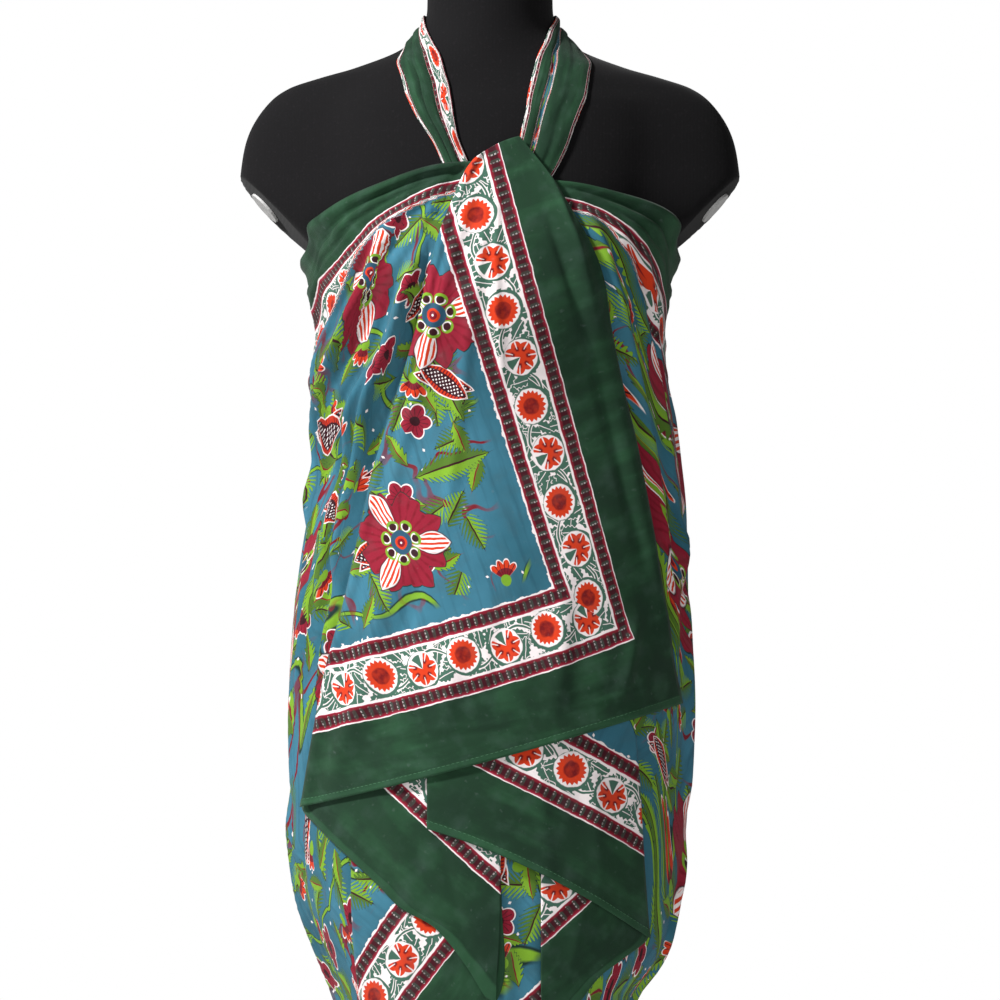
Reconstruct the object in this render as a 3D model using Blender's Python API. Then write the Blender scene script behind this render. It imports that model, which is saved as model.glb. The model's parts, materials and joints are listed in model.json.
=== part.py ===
"""A block printed cotton sarong worn as a halter wrap, on a limbless dress form with its stand.

Metres, +Z up, the front faces -Y and the underside of the stand's base is at Z = 0. Every stretch of
cloth lies on one wrapped surface round the form, each a little further out than the one it covers.
"""

import bisect
import math

import bmesh
import bpy
from mathutils import Matrix, Vector

MM = 0.001
CLOTH_WALL = 1.3 * MM
SEAT_GAP = 0.3 * MM

BASE_RADIUS = 0.200
BASE_HEIGHT = 0.024
BASE_EDGE = 0.006
POLE_RADIUS = 0.0125
NECK_CAP_HEIGHT = 0.012

FORM_SIDES = 40
FORM_FINE_ABOVE = 1242 * MM
STUMP_SPREAD_DEG = 26.0
ARM_PLATE_THICK = 2.0 * MM
ARM_PLATE_LONG = 0.0155
ARM_PLATE_DEEP = 0.0125
ARM_PLATE_SIDES = 28
ARM_CUT_POINT = Vector((0.1905, 0.0, 1.2880))
ARM_CUT_NORMAL = Vector((0.730, -0.170, -0.662)).normalized()
ARM_CUT_BELOW = 1.340
ARM_CUT_ABOVE = 1.250

WRAP_COLUMNS = 54
WRAP_ROWS = 24

# Horizontal sections of the form: height, half width with the arm stump, half width of the trunk,
# depth in front of the middle and depth behind it, in mm.
FORM_SECTIONS = (
    (735, 150, 150, 92, 108),
    (800, 160, 160, 102, 119),
    (870, 163, 163, 104, 126),
    (950, 157, 157, 102, 119),
    (1030, 139, 139, 97, 102),
    (1080, 129, 129, 94, 93),
    (1140, 135, 135, 102, 92),
    (1180, 140, 140, 117, 94),
    (1210, 145, 145, 123, 96),
    (1242, 149, 149, 119, 99),
    (1262, 172, 151, 114, 100),
    (1280, 198, 153, 109, 101),
    (1300, 211, 155, 102, 100),
    (1324, 211, 157, 93, 98),
    (1352, 204, 158, 84, 93),
    (1376, 188, 152, 76, 85),
    (1389, 170, 140, 69, 76),
    (1398, 143, 128, 65, 71),
    (1406, 115, 112, 62, 67),
    (1421, 77, 77, 58, 61),
    (1440, 57, 57, 55, 57),
    (1470, 53, 53, 53, 55),
    (1500, 53, 53, 53, 55),
)

# Horizontal sections of the wrapped cloth: height, half width on the left and on the right, depth in
# front of the middle and depth behind it, in mm.
CLOTH_SECTIONS = (
    (170, 121, 123, 88, 102),
    (300, 116, 118, 83, 97),
    (450, 109, 111, 78, 92),
    (550, 112, 112, 80, 94),
    (614, 124, 118, 88, 98),
    (642, 135, 138, 92, 102),
    (661, 143, 147, 96, 106),
    (696, 156, 155, 102, 113),
    (744, 164, 164, 108, 120),
    (799, 168, 168, 113, 128),
    (869, 170, 171, 115, 136),
    (940, 166, 167, 113, 131),
    (971, 161, 166, 112, 127),
    (1035, 148, 162, 108, 112),
    (1075, 138, 157, 106, 104),
    (1129, 148, 150, 113, 102),
    (1183, 147, 148, 129, 104),
    (1209, 151, 152, 133, 106),
    (1226, 154, 154, 132, 107),
    (1257, 165, 167, 127, 109),
    (1274, 178, 182, 119, 110),
    (1300, 182, 186, 108.5, 112),
    (1330, 184, 188, 97.4, 112),
    (1360, 184, 188, 88, 112),
)

# The two front ends of the wrap: height, where the end that came round the left side lies, and where
# the end that came round the right side lies, in mm.
WRAP_ENDS = (
    (170, 8, 42),
    (500, 8, 40),
    (600, -4, 52),
    (670, -30, 72),
    (750, -62, 92),
    (850, -88, 106),
    (945, -92, 104),
    (1020, -76, 98),
    (1115, -52, 78),
    (1180, -34, 66),
    (1260, -18, 48),
    (1330, -4, 30),
)

# The wrap's top edge: degrees round from the middle of the front by the left side, and height in mm.
TOP_EDGE = (
    (0, 1327),
    (8, 1326),
    (16, 1323),
    (29, 1311),
    (50, 1287),
    (60, 1278),
    (66, 1266),
    (72, 1254),
    (80, 1245),
    (90, 1240),
    (120, 1237),
    (180, 1230),
    (240, 1237),
    (270, 1240),
    (280, 1245),
    (288, 1254),
    (294, 1267),
    (300, 1281),
    (312, 1294),
    (327, 1305),
    (340, 1310),
    (360, 1313),
)
HEM_HEIGHT = 0.190
HEM_FRONT_RISE = 0.110
HEM_RISE_SPREAD = 0.10

# Folds pulled towards the crossing: side, degrees away from straight down, spread in degrees, height
# in mm, and where the fold starts and ends, in mm from its root.
PULL_FOLDS = (
    ("left", 26, 3.4, 5.0, 60, 420),
    ("left", 34, 3.6, 6.0, 50, 320),
    ("left", 47, 4.5, 5.0, 50, 220),
    ("right", 8, 4.0, 1.5, 70, 420),
    ("right", 20, 4.5, 2.5, 60, 330),
)
FOLD_ROOTS = {"left": (-0.017, 1.330), "right": (0.062, 1.330)}

SKIRT_FOLD_TOP = 0.800
SKIRT_FOLD_HEIGHT = 10.0 * MM
SKIRT_FOLDS = ((11, 0.4, 0.60), (7, 1.9, 0.40))

# Each front stretch: its rows from the hem up, as the left end and the right end of a row, across and
# up, with the height of its middle above a straight line, all in mm.
FRONT_PANEL_ROWS = (
    (-160, 779, 163, 867, -3),
    (-151, 833, 154, 911, -2),
    (-138, 899, 143, 962, 0),
    (-123, 954, 136, 1013, 0),
    (-108, 1022, 124, 1081, 0),
    (-95, 1080, 112, 1128, 0),
    (-78, 1132, 102, 1179, 0),
    (-62, 1188, 96, 1222, 0),
    (-45, 1256, 84, 1256, 0),
    (-30, 1296, 64, 1290, 2),
    (-21, 1316, 46, 1319, 5),
    (-14, 1326, 25, 1346, 3),
)
UNDER_PANEL_ROWS = (
    (-53, 762, 135, 668, 10),
    (-53, 792, 130, 741, 4),
    (-53, 822, 126, 808, 0),
    (-51, 852, 121, 868, 0),
)
LEFT_CASCADE_ROWS = (
    (-4, 620, 5, 614, 0),
    (-22, 649, 6, 640, 0),
    (-46, 678, 8, 668, 0),
    (-75, 695, 9, 692, 0),
    (-95, 715, 9, 716, 0),
    (-123, 741, 9, 750, 0),
    (-145, 762, 9, 784, 0),
    (-159, 780, 9, 818, 0),
    (-152, 808, 9, 850, 0),
)
LEFT_CASCADE_LOWER_ROWS = (
    (-96, 480, -88, 482, 0),
    (-98, 529, -67, 531, 0),
    (-103, 580, -25, 580, 0),
    (-113, 640, 10, 627, 0),
    (-117, 695, 10, 695, 0),
    (-117, 742, 8, 742, 0),
)
RIGHT_CASCADE_ROWS = (
    (44, 572, 52, 578, 0),
    (44, 600, 75, 614, 0),
    (43, 628, 92, 636, 0),
    (43, 656, 112, 651, 0),
    (43, 684, 132, 667, 0),
    (43, 716, 131, 680, 0),
    (43, 746, 127, 716, 0),
)
CENTRE_FALL_ROWS = (
    (-12, 400, 70, 486, 0),
    (-13, 480, 70, 540, 0),
    (-14, 600, 70, 620, 0),
    (-15, 700, 70, 700, 0),
    (-15, 790, 70, 790, 0),
)

# How far each front stretch stands out from the wrap: across, and distance out, in mm.
FRONT_PANEL_STAND = ((-175, 8.4), (-117, 8.6), (-58, 13.0), (20, 13.0), (120, 9.6), (150, 4.0))
UNDER_PANEL_STAND = ((20, 10.2), (120, 6.8))
LEFT_CASCADE_STAND = ((-117, 5.4), (-24, 7.8))
LEFT_CASCADE_LOWER_STAND = ((-117, 2.8), (-24, 5.3))
RIGHT_CASCADE_STAND = ((72, 5.3), (120, 3.0))
CENTRE_FALL_STAND = ((0, 3.0), (1, 3.0))

FRONT_PANEL_FLAT_STAND = 3.4
FRONT_PANEL_LIFT = (0.960, 0.885)

# Each strap from the crossing to the nape: the outer and the inner edge, each as degrees round the
# form from the middle of the front and a height in mm.
STRAP_NAPE_ROWS = (
    (106, 1424, 88, 1450),
    (124, 1420, 112, 1450),
    (144, 1418, 137, 1446),
    (162, 1421, 158, 1443),
    (177, 1425, 176, 1440),
)
LEFT_STRAP_ROWS = (
    (12, 1306, 4, 1308),
    (15.4, 1329, 7.2, 1328),
    (18.5, 1346, 9.5, 1344),
    (23, 1363, 10.8, 1360),
    (28, 1381, 12.6, 1381),
    (36, 1399, 16.5, 1398),
    (52, 1412, 25, 1413),
    (75, 1424, 43, 1427),
    (92, 1427, 66, 1440),
    *STRAP_NAPE_ROWS,
)
RIGHT_STRAP_ROWS = (
    (16, 1298, 6, 1310),
    (20.9, 1319, 8, 1332),
    (24, 1336, 9.6, 1352),
    (27, 1357, 11, 1366),
    (32, 1378, 12.5, 1383),
    (41, 1399, 17, 1401),
    (58, 1412, 25, 1414),
    (80, 1423, 42, 1428),
    (92, 1427, 62, 1441),
    *STRAP_NAPE_ROWS,
)
STRAP_SEAT = 1.5 * MM
STRAP_THICK = 2.4 * MM
STRAP_FOLD = 2.0 * MM

KNOT_CENTRE = Vector((0.0, 0.0738, 1.4320))
KNOT_SIZE = Vector((0.0130, 0.0095, 0.0120))

# Each tail below the knot: degrees from the middle of the back, half width in degrees, height in mm.
TAIL_ROWS = (
    (6, 2.0, 1413),
    (9, 4.0, 1392),
    (12, 6.0, 1368),
    (14, 7.0, 1340),
    (15, 5.0, 1316),
    (16, 1.0, 1296),
)
TAIL_SEAT = 1.3 * MM

COLOURS = {
    "body_wrap": (0.13, 0.34, 0.40),
    "front_panel": (0.10, 0.26, 0.16),
    "under_panel": (0.12, 0.28, 0.18),
    "left_cascade": (0.11, 0.30, 0.20),
    "left_cascade_lower": (0.17, 0.40, 0.47),
    "right_cascade": (0.10, 0.25, 0.16),
    "centre_fall": (0.15, 0.36, 0.44),
    "halter_strap": (0.09, 0.24, 0.14),
    "nape": (0.10, 0.27, 0.17),
    "dress_form": (0.012, 0.012, 0.013),
    "arm_plate": (0.55, 0.55, 0.55),
    "stand": (0.05, 0.05, 0.055),
}


def clear_scene():
    for found in list(bpy.data.objects):
        bpy.data.objects.remove(found, do_unlink=True)


def material(name, colour, roughness, metallic=0.0):
    made = bpy.data.materials.new(name)
    made.use_nodes = True
    shader = made.node_tree.nodes["Principled BSDF"]
    shader.inputs["Base Color"].default_value = (*colour, 1.0)
    shader.inputs["Roughness"].default_value = roughness
    shader.inputs["Metallic"].default_value = metallic
    return made


def blend(a, b, share):
    return a + (b - a) * share


def ease(low, high, value):
    share = min(max((value - low) / (high - low), 0.0), 1.0)
    return share * share * (3.0 - 2.0 * share)


def along(table, place, column):
    """The table's column at this place, on a smooth curve through its rows."""
    keys = [row[0] for row in table]
    place = min(max(place, keys[0]), keys[-1])
    i = min(bisect.bisect_right(keys, place), len(keys) - 1)
    step = keys[i] - keys[i - 1]

    def slope(k):
        before, after = max(k - 1, 0), min(k + 1, len(keys) - 1)
        return (table[after][column] - table[before][column]) / (keys[after] - keys[before])

    share = (place - keys[i - 1]) / step
    start, end = table[i - 1][column], table[i][column]
    rise = share * share * (3.0 - 2.0 * share)
    bend_start = share * (1.0 - share) ** 2 * step * slope(i - 1)
    bend_end = share * share * (share - 1.0) * step * slope(i)
    return blend(start, end, rise) + bend_start + bend_end


def fold_height(x, z, degrees):
    """How far folds lift the wrapped cloth at a place on it."""
    lift = 0.0
    if x < 0 and degrees < 90 or x >= 0 and degrees > 270:
        side = "left" if x < 0 else "right"
        root_x, root_z = FOLD_ROOTS[side]
        across, down = abs(x - root_x), root_z - z
        reach = math.hypot(across, down)
        turn = math.degrees(math.atan2(across, down))
        outside = (x - root_x) * (-1 if side == "left" else 1) > 0
        for fold_side, angle, spread, height, start, end in PULL_FOLDS:
            if fold_side != side or not outside:
                continue
            rising = ease(start * MM * 0.3, start * MM, reach)
            falling = 1 - ease(end * MM * 0.6, end * MM, reach)
            lift += height * MM * math.exp(-(((turn - angle) / spread) ** 2)) * rising * falling
    hang = 1.0 - ease(HEM_HEIGHT, SKIRT_FOLD_TOP, z)
    turn = math.radians(degrees)
    calm = 1.0 - 0.85 * math.exp(-(((degrees + 180) % 360 - 180) / 50.0) ** 2)
    for count, phase, share in SKIRT_FOLDS:
        lift += SKIRT_FOLD_HEIGHT * share * hang * calm * 0.5 * (1 + math.cos(count * turn + phase))
    return lift


def wrap_axes(z, degrees):
    """Half width and depth of the wrapped cloth on the side that these degrees face."""
    level = z / MM
    turn = math.radians(degrees)
    width = along(CLOTH_SECTIONS, level, 1 if math.sin(turn) > 0 else 2)
    depth = along(CLOTH_SECTIONS, level, 3 if math.cos(turn) > 0 else 4)
    return width * MM, depth * MM


def wrap_point(degrees, z, stand):
    """A point of the wrapped surface, this far out from it."""
    width, depth = wrap_axes(z, degrees)
    turn = math.radians(degrees)
    lift = stand + fold_height(-width * math.sin(turn), z, degrees % 360)
    return Vector((-(width + lift) * math.sin(turn), -(depth + lift) * math.cos(turn), z))


def degrees_at(x, z):
    """Where on the front of the wrapped surface this distance across lies."""
    width, _ = wrap_axes(z, 1.0 if x < 0 else 359.0)
    return math.degrees(math.asin(min(max(-x / width, -0.985), 0.985)))


def form_point(degrees, z, stand):
    """A point of the form's surface, this far out from it."""
    level = z / MM
    turn = math.radians(degrees)
    total = along(FORM_SECTIONS, level, 1) * MM
    trunk = along(FORM_SECTIONS, level, 2) * MM
    depth = along(FORM_SECTIONS, level, 3 if math.cos(turn) > 0 else 4) * MM
    beside = math.degrees(math.acos(min(abs(math.sin(turn)), 1.0)))
    stump = (total - trunk) * math.exp(-((beside / STUMP_SPREAD_DEG) ** 4))
    x = math.sin(turn) * (trunk + stand) + math.copysign(stump, math.sin(turn))
    y = -(depth + stand) * math.cos(turn)
    if ARM_CUT_ABOVE < z < ARM_CUT_BELOW:
        beyond = ARM_CUT_POINT - Vector((0.0, y, z))
        reach = beyond.dot(ARM_CUT_NORMAL) / ARM_CUT_NORMAL.x
        x = math.copysign(min(abs(x), reach), x)
    return Vector((-x, y, z))


def place(name, bm, look):
    """Makes the object of this name from the mesh."""
    bmesh.ops.recalc_face_normals(bm, faces=bm.faces[:])
    mesh = bpy.data.meshes.new(name)
    bm.to_mesh(mesh)
    bm.free()
    mesh.materials.append(look)
    mesh.shade_smooth()
    mesh.set_sharp_from_angle(angle=math.radians(40))
    made = bpy.data.objects.new(name, mesh)
    bpy.context.scene.collection.objects.link(made)
    return made


def walled_sheet(name, inner, outer, look):
    """A closed wall between two grids of points, given as rows of equal length."""
    bm = bmesh.new()
    low = [[bm.verts.new(point) for point in row] for row in inner]
    high = [[bm.verts.new(point) for point in row] for row in outer]
    rows, columns = len(inner), len(inner[0])
    for r in range(rows - 1):
        for c in range(columns - 1):
            bm.faces.new((high[r][c], high[r][c + 1], high[r + 1][c + 1], high[r + 1][c]))
            bm.faces.new((low[r][c], low[r + 1][c], low[r + 1][c + 1], low[r][c + 1]))
    for r in range(rows - 1):
        for c in (0, columns - 1):
            bm.faces.new((low[r][c], high[r][c], high[r + 1][c], low[r + 1][c]))
    for c in range(columns - 1):
        for r in (0, rows - 1):
            bm.faces.new((low[r][c], low[r][c + 1], high[r][c + 1], high[r][c]))
    return place(name, bm, look)


def turned(name, profile, sides, look):
    """A solid of revolution about Z from a profile of radius and height, bottom to top."""
    bm = bmesh.new()
    rings = []
    for radius, height in profile:
        ring = []
        for k in range(sides):
            turn = math.tau * k / sides
            ring.append(bm.verts.new((radius * math.cos(turn), radius * math.sin(turn), height)))
        rings.append(ring)
    for below, above in zip(rings, rings[1:]):
        for k in range(sides):
            after = (k + 1) % sides
            bm.faces.new((below[k], below[after], above[after], above[k]))
    bm.faces.new(rings[0][::-1])
    bm.faces.new(rings[-1])
    return place(name, bm, look)


def body_wrap(look):
    inner, outer = [], []
    top_left, top_right = degrees_at(-0.004, 1.326), 360 + degrees_at(0.030, 1.312)
    for r in range(WRAP_ROWS + 1):
        inner_row, outer_row = [], []
        for c in range(WRAP_COLUMNS + 1):
            share = c / WRAP_COLUMNS
            top = along(TOP_EDGE, blend(top_left, top_right, share), 1) * MM
            from_end = min(share, 1 - share)
            front = math.exp(-((from_end / HEM_RISE_SPREAD) ** 2))
            z = blend(HEM_HEIGHT + HEM_FRONT_RISE * front, top, r / WRAP_ROWS)
            start = degrees_at(along(WRAP_ENDS, z / MM, 1) * MM, z)
            end = 360 + degrees_at(along(WRAP_ENDS, z / MM, 2) * MM, z)
            degrees = blend(start, end, share)
            inner_row.append(wrap_point(degrees, z, 0.0))
            outer_row.append(wrap_point(degrees, z, CLOTH_WALL))
        inner.append(inner_row)
        outer.append(outer_row)
    return walled_sheet("body_wrap", inner, outer, look)


def stretch_grid(rows, stand, columns, fine_rows):
    """The inner and outer points of a front stretch, from its rows and how far out it stands."""
    table = [(k, *row) for k, row in enumerate(rows)]
    inner, outer = [], []
    for r in range(fine_rows + 1):
        key = (len(rows) - 1) * r / fine_rows
        left_x, left_z, right_x, right_z, bow = (along(table, key, k) * MM for k in range(1, 6))
        inner_row, outer_row = [], []
        for c in range(columns + 1):
            share = c / columns
            x = blend(left_x, right_x, share)
            z = blend(left_z, right_z, share) + bow * 4 * share * (1 - share)
            out = stand(x, z)
            degrees = degrees_at(x, z)
            inner_row.append(wrap_point(degrees, z, out))
            outer_row.append(wrap_point(degrees, z, out + CLOTH_WALL))
        inner.append(inner_row)
        outer.append(outer_row)
    return inner, outer


def even_stand(table):
    return lambda x, z: along(table, x / MM, 1) * MM


def front_panel_stand(x, z):
    """The front panel lies close over the bust and stands out over the stretches below it."""
    lift = 1.0 - ease(FRONT_PANEL_LIFT[1], FRONT_PANEL_LIFT[0], z)
    return blend(FRONT_PANEL_FLAT_STAND, along(FRONT_PANEL_STAND, x / MM, 1), lift) * MM


def front_stretches():
    stretches = (
        ("front_panel", FRONT_PANEL_ROWS, front_panel_stand, 16, 22),
        ("under_panel", UNDER_PANEL_ROWS, even_stand(UNDER_PANEL_STAND), 10, 8),
        ("left_cascade", LEFT_CASCADE_ROWS, even_stand(LEFT_CASCADE_STAND), 9, 12),
        ("left_cascade_lower", LEFT_CASCADE_LOWER_ROWS, even_stand(LEFT_CASCADE_LOWER_STAND), 8, 10),
        ("right_cascade", RIGHT_CASCADE_ROWS, even_stand(RIGHT_CASCADE_STAND), 7, 10),
        ("centre_fall", CENTRE_FALL_ROWS, even_stand(CENTRE_FALL_STAND), 6, 12),
    )
    for name, rows, stand, columns, fine_rows in stretches:
        inner, outer = stretch_grid(rows, stand, columns, fine_rows)
        walled_sheet(name, inner, outer, material(name, COLOURS[name], 0.85))


def halter_strap(name, side, rows, look):
    """A gathered corner of the cloth, lying on the form from the crossing round to the nape."""
    columns, fine_rows = 6, 24
    table = [(k, *row) for k, row in enumerate(rows)]
    inner, outer = [], []
    for r in range(fine_rows + 1):
        key = (len(rows) - 1) * r / fine_rows
        outer_turn, outer_z, inner_turn, inner_z = (along(table, key, k) for k in range(1, 5))
        inner_row, outer_row = [], []
        for c in range(columns + 1):
            share = c / columns
            degrees = side * blend(outer_turn, inner_turn, share)
            z = blend(outer_z, inner_z, share) * MM
            crown = STRAP_FOLD * abs(math.sin(2 * math.pi * share))
            inner_row.append(form_point(degrees, z, STRAP_SEAT))
            outer_row.append(form_point(degrees, z, STRAP_SEAT + STRAP_THICK + crown))
        inner.append(inner_row)
        outer.append(outer_row)
    return walled_sheet(name, inner, outer, look)


def nape_tail(name, side, look):
    """A free corner of the cloth, hanging from the knot down the form's back."""
    columns, fine_rows = 4, 12
    table = [(k, *row) for k, row in enumerate(TAIL_ROWS)]
    inner, outer = [], []
    for r in range(fine_rows + 1):
        key = (len(TAIL_ROWS) - 1) * r / fine_rows
        middle, half_width, z = (along(table, key, k) for k in range(1, 4))
        inner_row, outer_row = [], []
        for c in range(columns + 1):
            degrees = 180 + side * (middle + (2 * c / columns - 1) * half_width)
            inner_row.append(form_point(degrees, z * MM, TAIL_SEAT))
            outer_row.append(form_point(degrees, z * MM, TAIL_SEAT + 2 * CLOTH_WALL))
        inner.append(inner_row)
        outer.append(outer_row)
    return walled_sheet(name, inner, outer, look)


def nape_knot(look):
    bm = bmesh.new()
    bmesh.ops.create_uvsphere(bm, u_segments=16, v_segments=10, radius=1.0)
    bmesh.ops.transform(bm, matrix=Matrix.LocRotScale(KNOT_CENTRE, None, KNOT_SIZE), verts=bm.verts[:])
    return place("nape_knot", bm, look)


def dress_form(look):
    bm = bmesh.new()
    levels = [row[0] * MM for row in FORM_SECTIONS]
    levels += [(a + b) / 2 for a, b in zip(levels, levels[1:]) if a >= FORM_FINE_ABOVE]
    degrees = [360 * k / FORM_SIDES for k in range(FORM_SIDES)]
    rings = []
    for level in sorted(levels):
        rings.append([bm.verts.new(form_point(turn, level, 0.0)) for turn in degrees])
    for below, above in zip(rings, rings[1:]):
        for k in range(FORM_SIDES):
            after = (k + 1) % FORM_SIDES
            bm.faces.new((below[k], below[after], above[after], above[k]))
    bm.faces.new(rings[0][::-1])
    bm.faces.new(rings[-1])
    return place("dress_form", bm, look)


def arm_plate(name, side, look):
    """A thin oval plate over the cut shoulder, just clear of it."""
    flip = Vector((side, 1, 1))
    point, normal = ARM_CUT_POINT * flip, ARM_CUT_NORMAL * flip
    along_cut = Vector((normal.z, 0.0, -normal.x)).normalized()
    across_cut = normal.cross(along_cut)
    bm = bmesh.new()
    rings = []
    for out in (SEAT_GAP, SEAT_GAP + ARM_PLATE_THICK):
        ring = []
        for k in range(ARM_PLATE_SIDES):
            turn = math.tau * k / ARM_PLATE_SIDES
            long_way = along_cut * ARM_PLATE_LONG * math.cos(turn)
            deep_way = across_cut * ARM_PLATE_DEEP * math.sin(turn)
            ring.append(bm.verts.new(point + long_way + deep_way + normal * out))
        rings.append(ring)
    for k in range(ARM_PLATE_SIDES):
        after = (k + 1) % ARM_PLATE_SIDES
        bm.faces.new((rings[0][k], rings[0][after], rings[1][after], rings[1][k]))
    bm.faces.new(rings[0][::-1])
    bm.faces.new(rings[1])
    return place(name, bm, look)


def stand():
    look = material("stand", COLOURS["stand"], 0.35, 0.8)
    low, high = FORM_SECTIONS[0][0] * MM, FORM_SECTIONS[-1][0] * MM
    base = [(BASE_RADIUS, 0.0), (BASE_RADIUS, BASE_HEIGHT - BASE_EDGE)]
    for step in (30, 60, 90):
        turn = math.radians(step)
        drop = BASE_EDGE * (1 - math.sin(turn))
        base.append((BASE_RADIUS - BASE_EDGE * (1 - math.cos(turn)), BASE_HEIGHT - drop))
    turned("stand_base", base, 64, look)
    pole = ((POLE_RADIUS, BASE_HEIGHT + SEAT_GAP), (POLE_RADIUS, low - SEAT_GAP))
    turned("stand_pole", pole, 24, look)
    neck = FORM_SECTIONS[-1][1] * MM
    cap_low, cap_high = high + SEAT_GAP, high + NECK_CAP_HEIGHT
    edge_low, edge_high = 1.5 * MM, 3.0 * MM
    cap = (
        (neck - edge_low, cap_low),
        (neck, cap_low + edge_low),
        (neck, cap_high - edge_high),
        (neck - edge_high, cap_high),
    )
    turned("neck_cap", cap, 32, look)


def build():
    clear_scene()
    form_look = material("form_cloth", COLOURS["dress_form"], 0.9)
    plate_look = material("arm_plate", COLOURS["arm_plate"], 0.5)
    strap_look = material("halter_strap", COLOURS["halter_strap"], 0.85)
    nape_look = material("nape", COLOURS["nape"], 0.85)
    stand()
    dress_form(form_look)
    arm_plate("arm_plate_left", -1, plate_look)
    arm_plate("arm_plate_right", 1, plate_look)
    body_wrap(material("body_wrap", COLOURS["body_wrap"], 0.85))
    front_stretches()
    halter_strap("halter_strap_left", 1, LEFT_STRAP_ROWS, strap_look)
    halter_strap("halter_strap_right", -1, RIGHT_STRAP_ROWS, strap_look)
    nape_knot(nape_look)
    nape_tail("nape_tail_left", -1, nape_look)
    nape_tail("nape_tail_right", 1, nape_look)


build()
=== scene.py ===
"""The looks of a block printed cotton sarong, wound and tied on a black dress form."""

import json
import math

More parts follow.
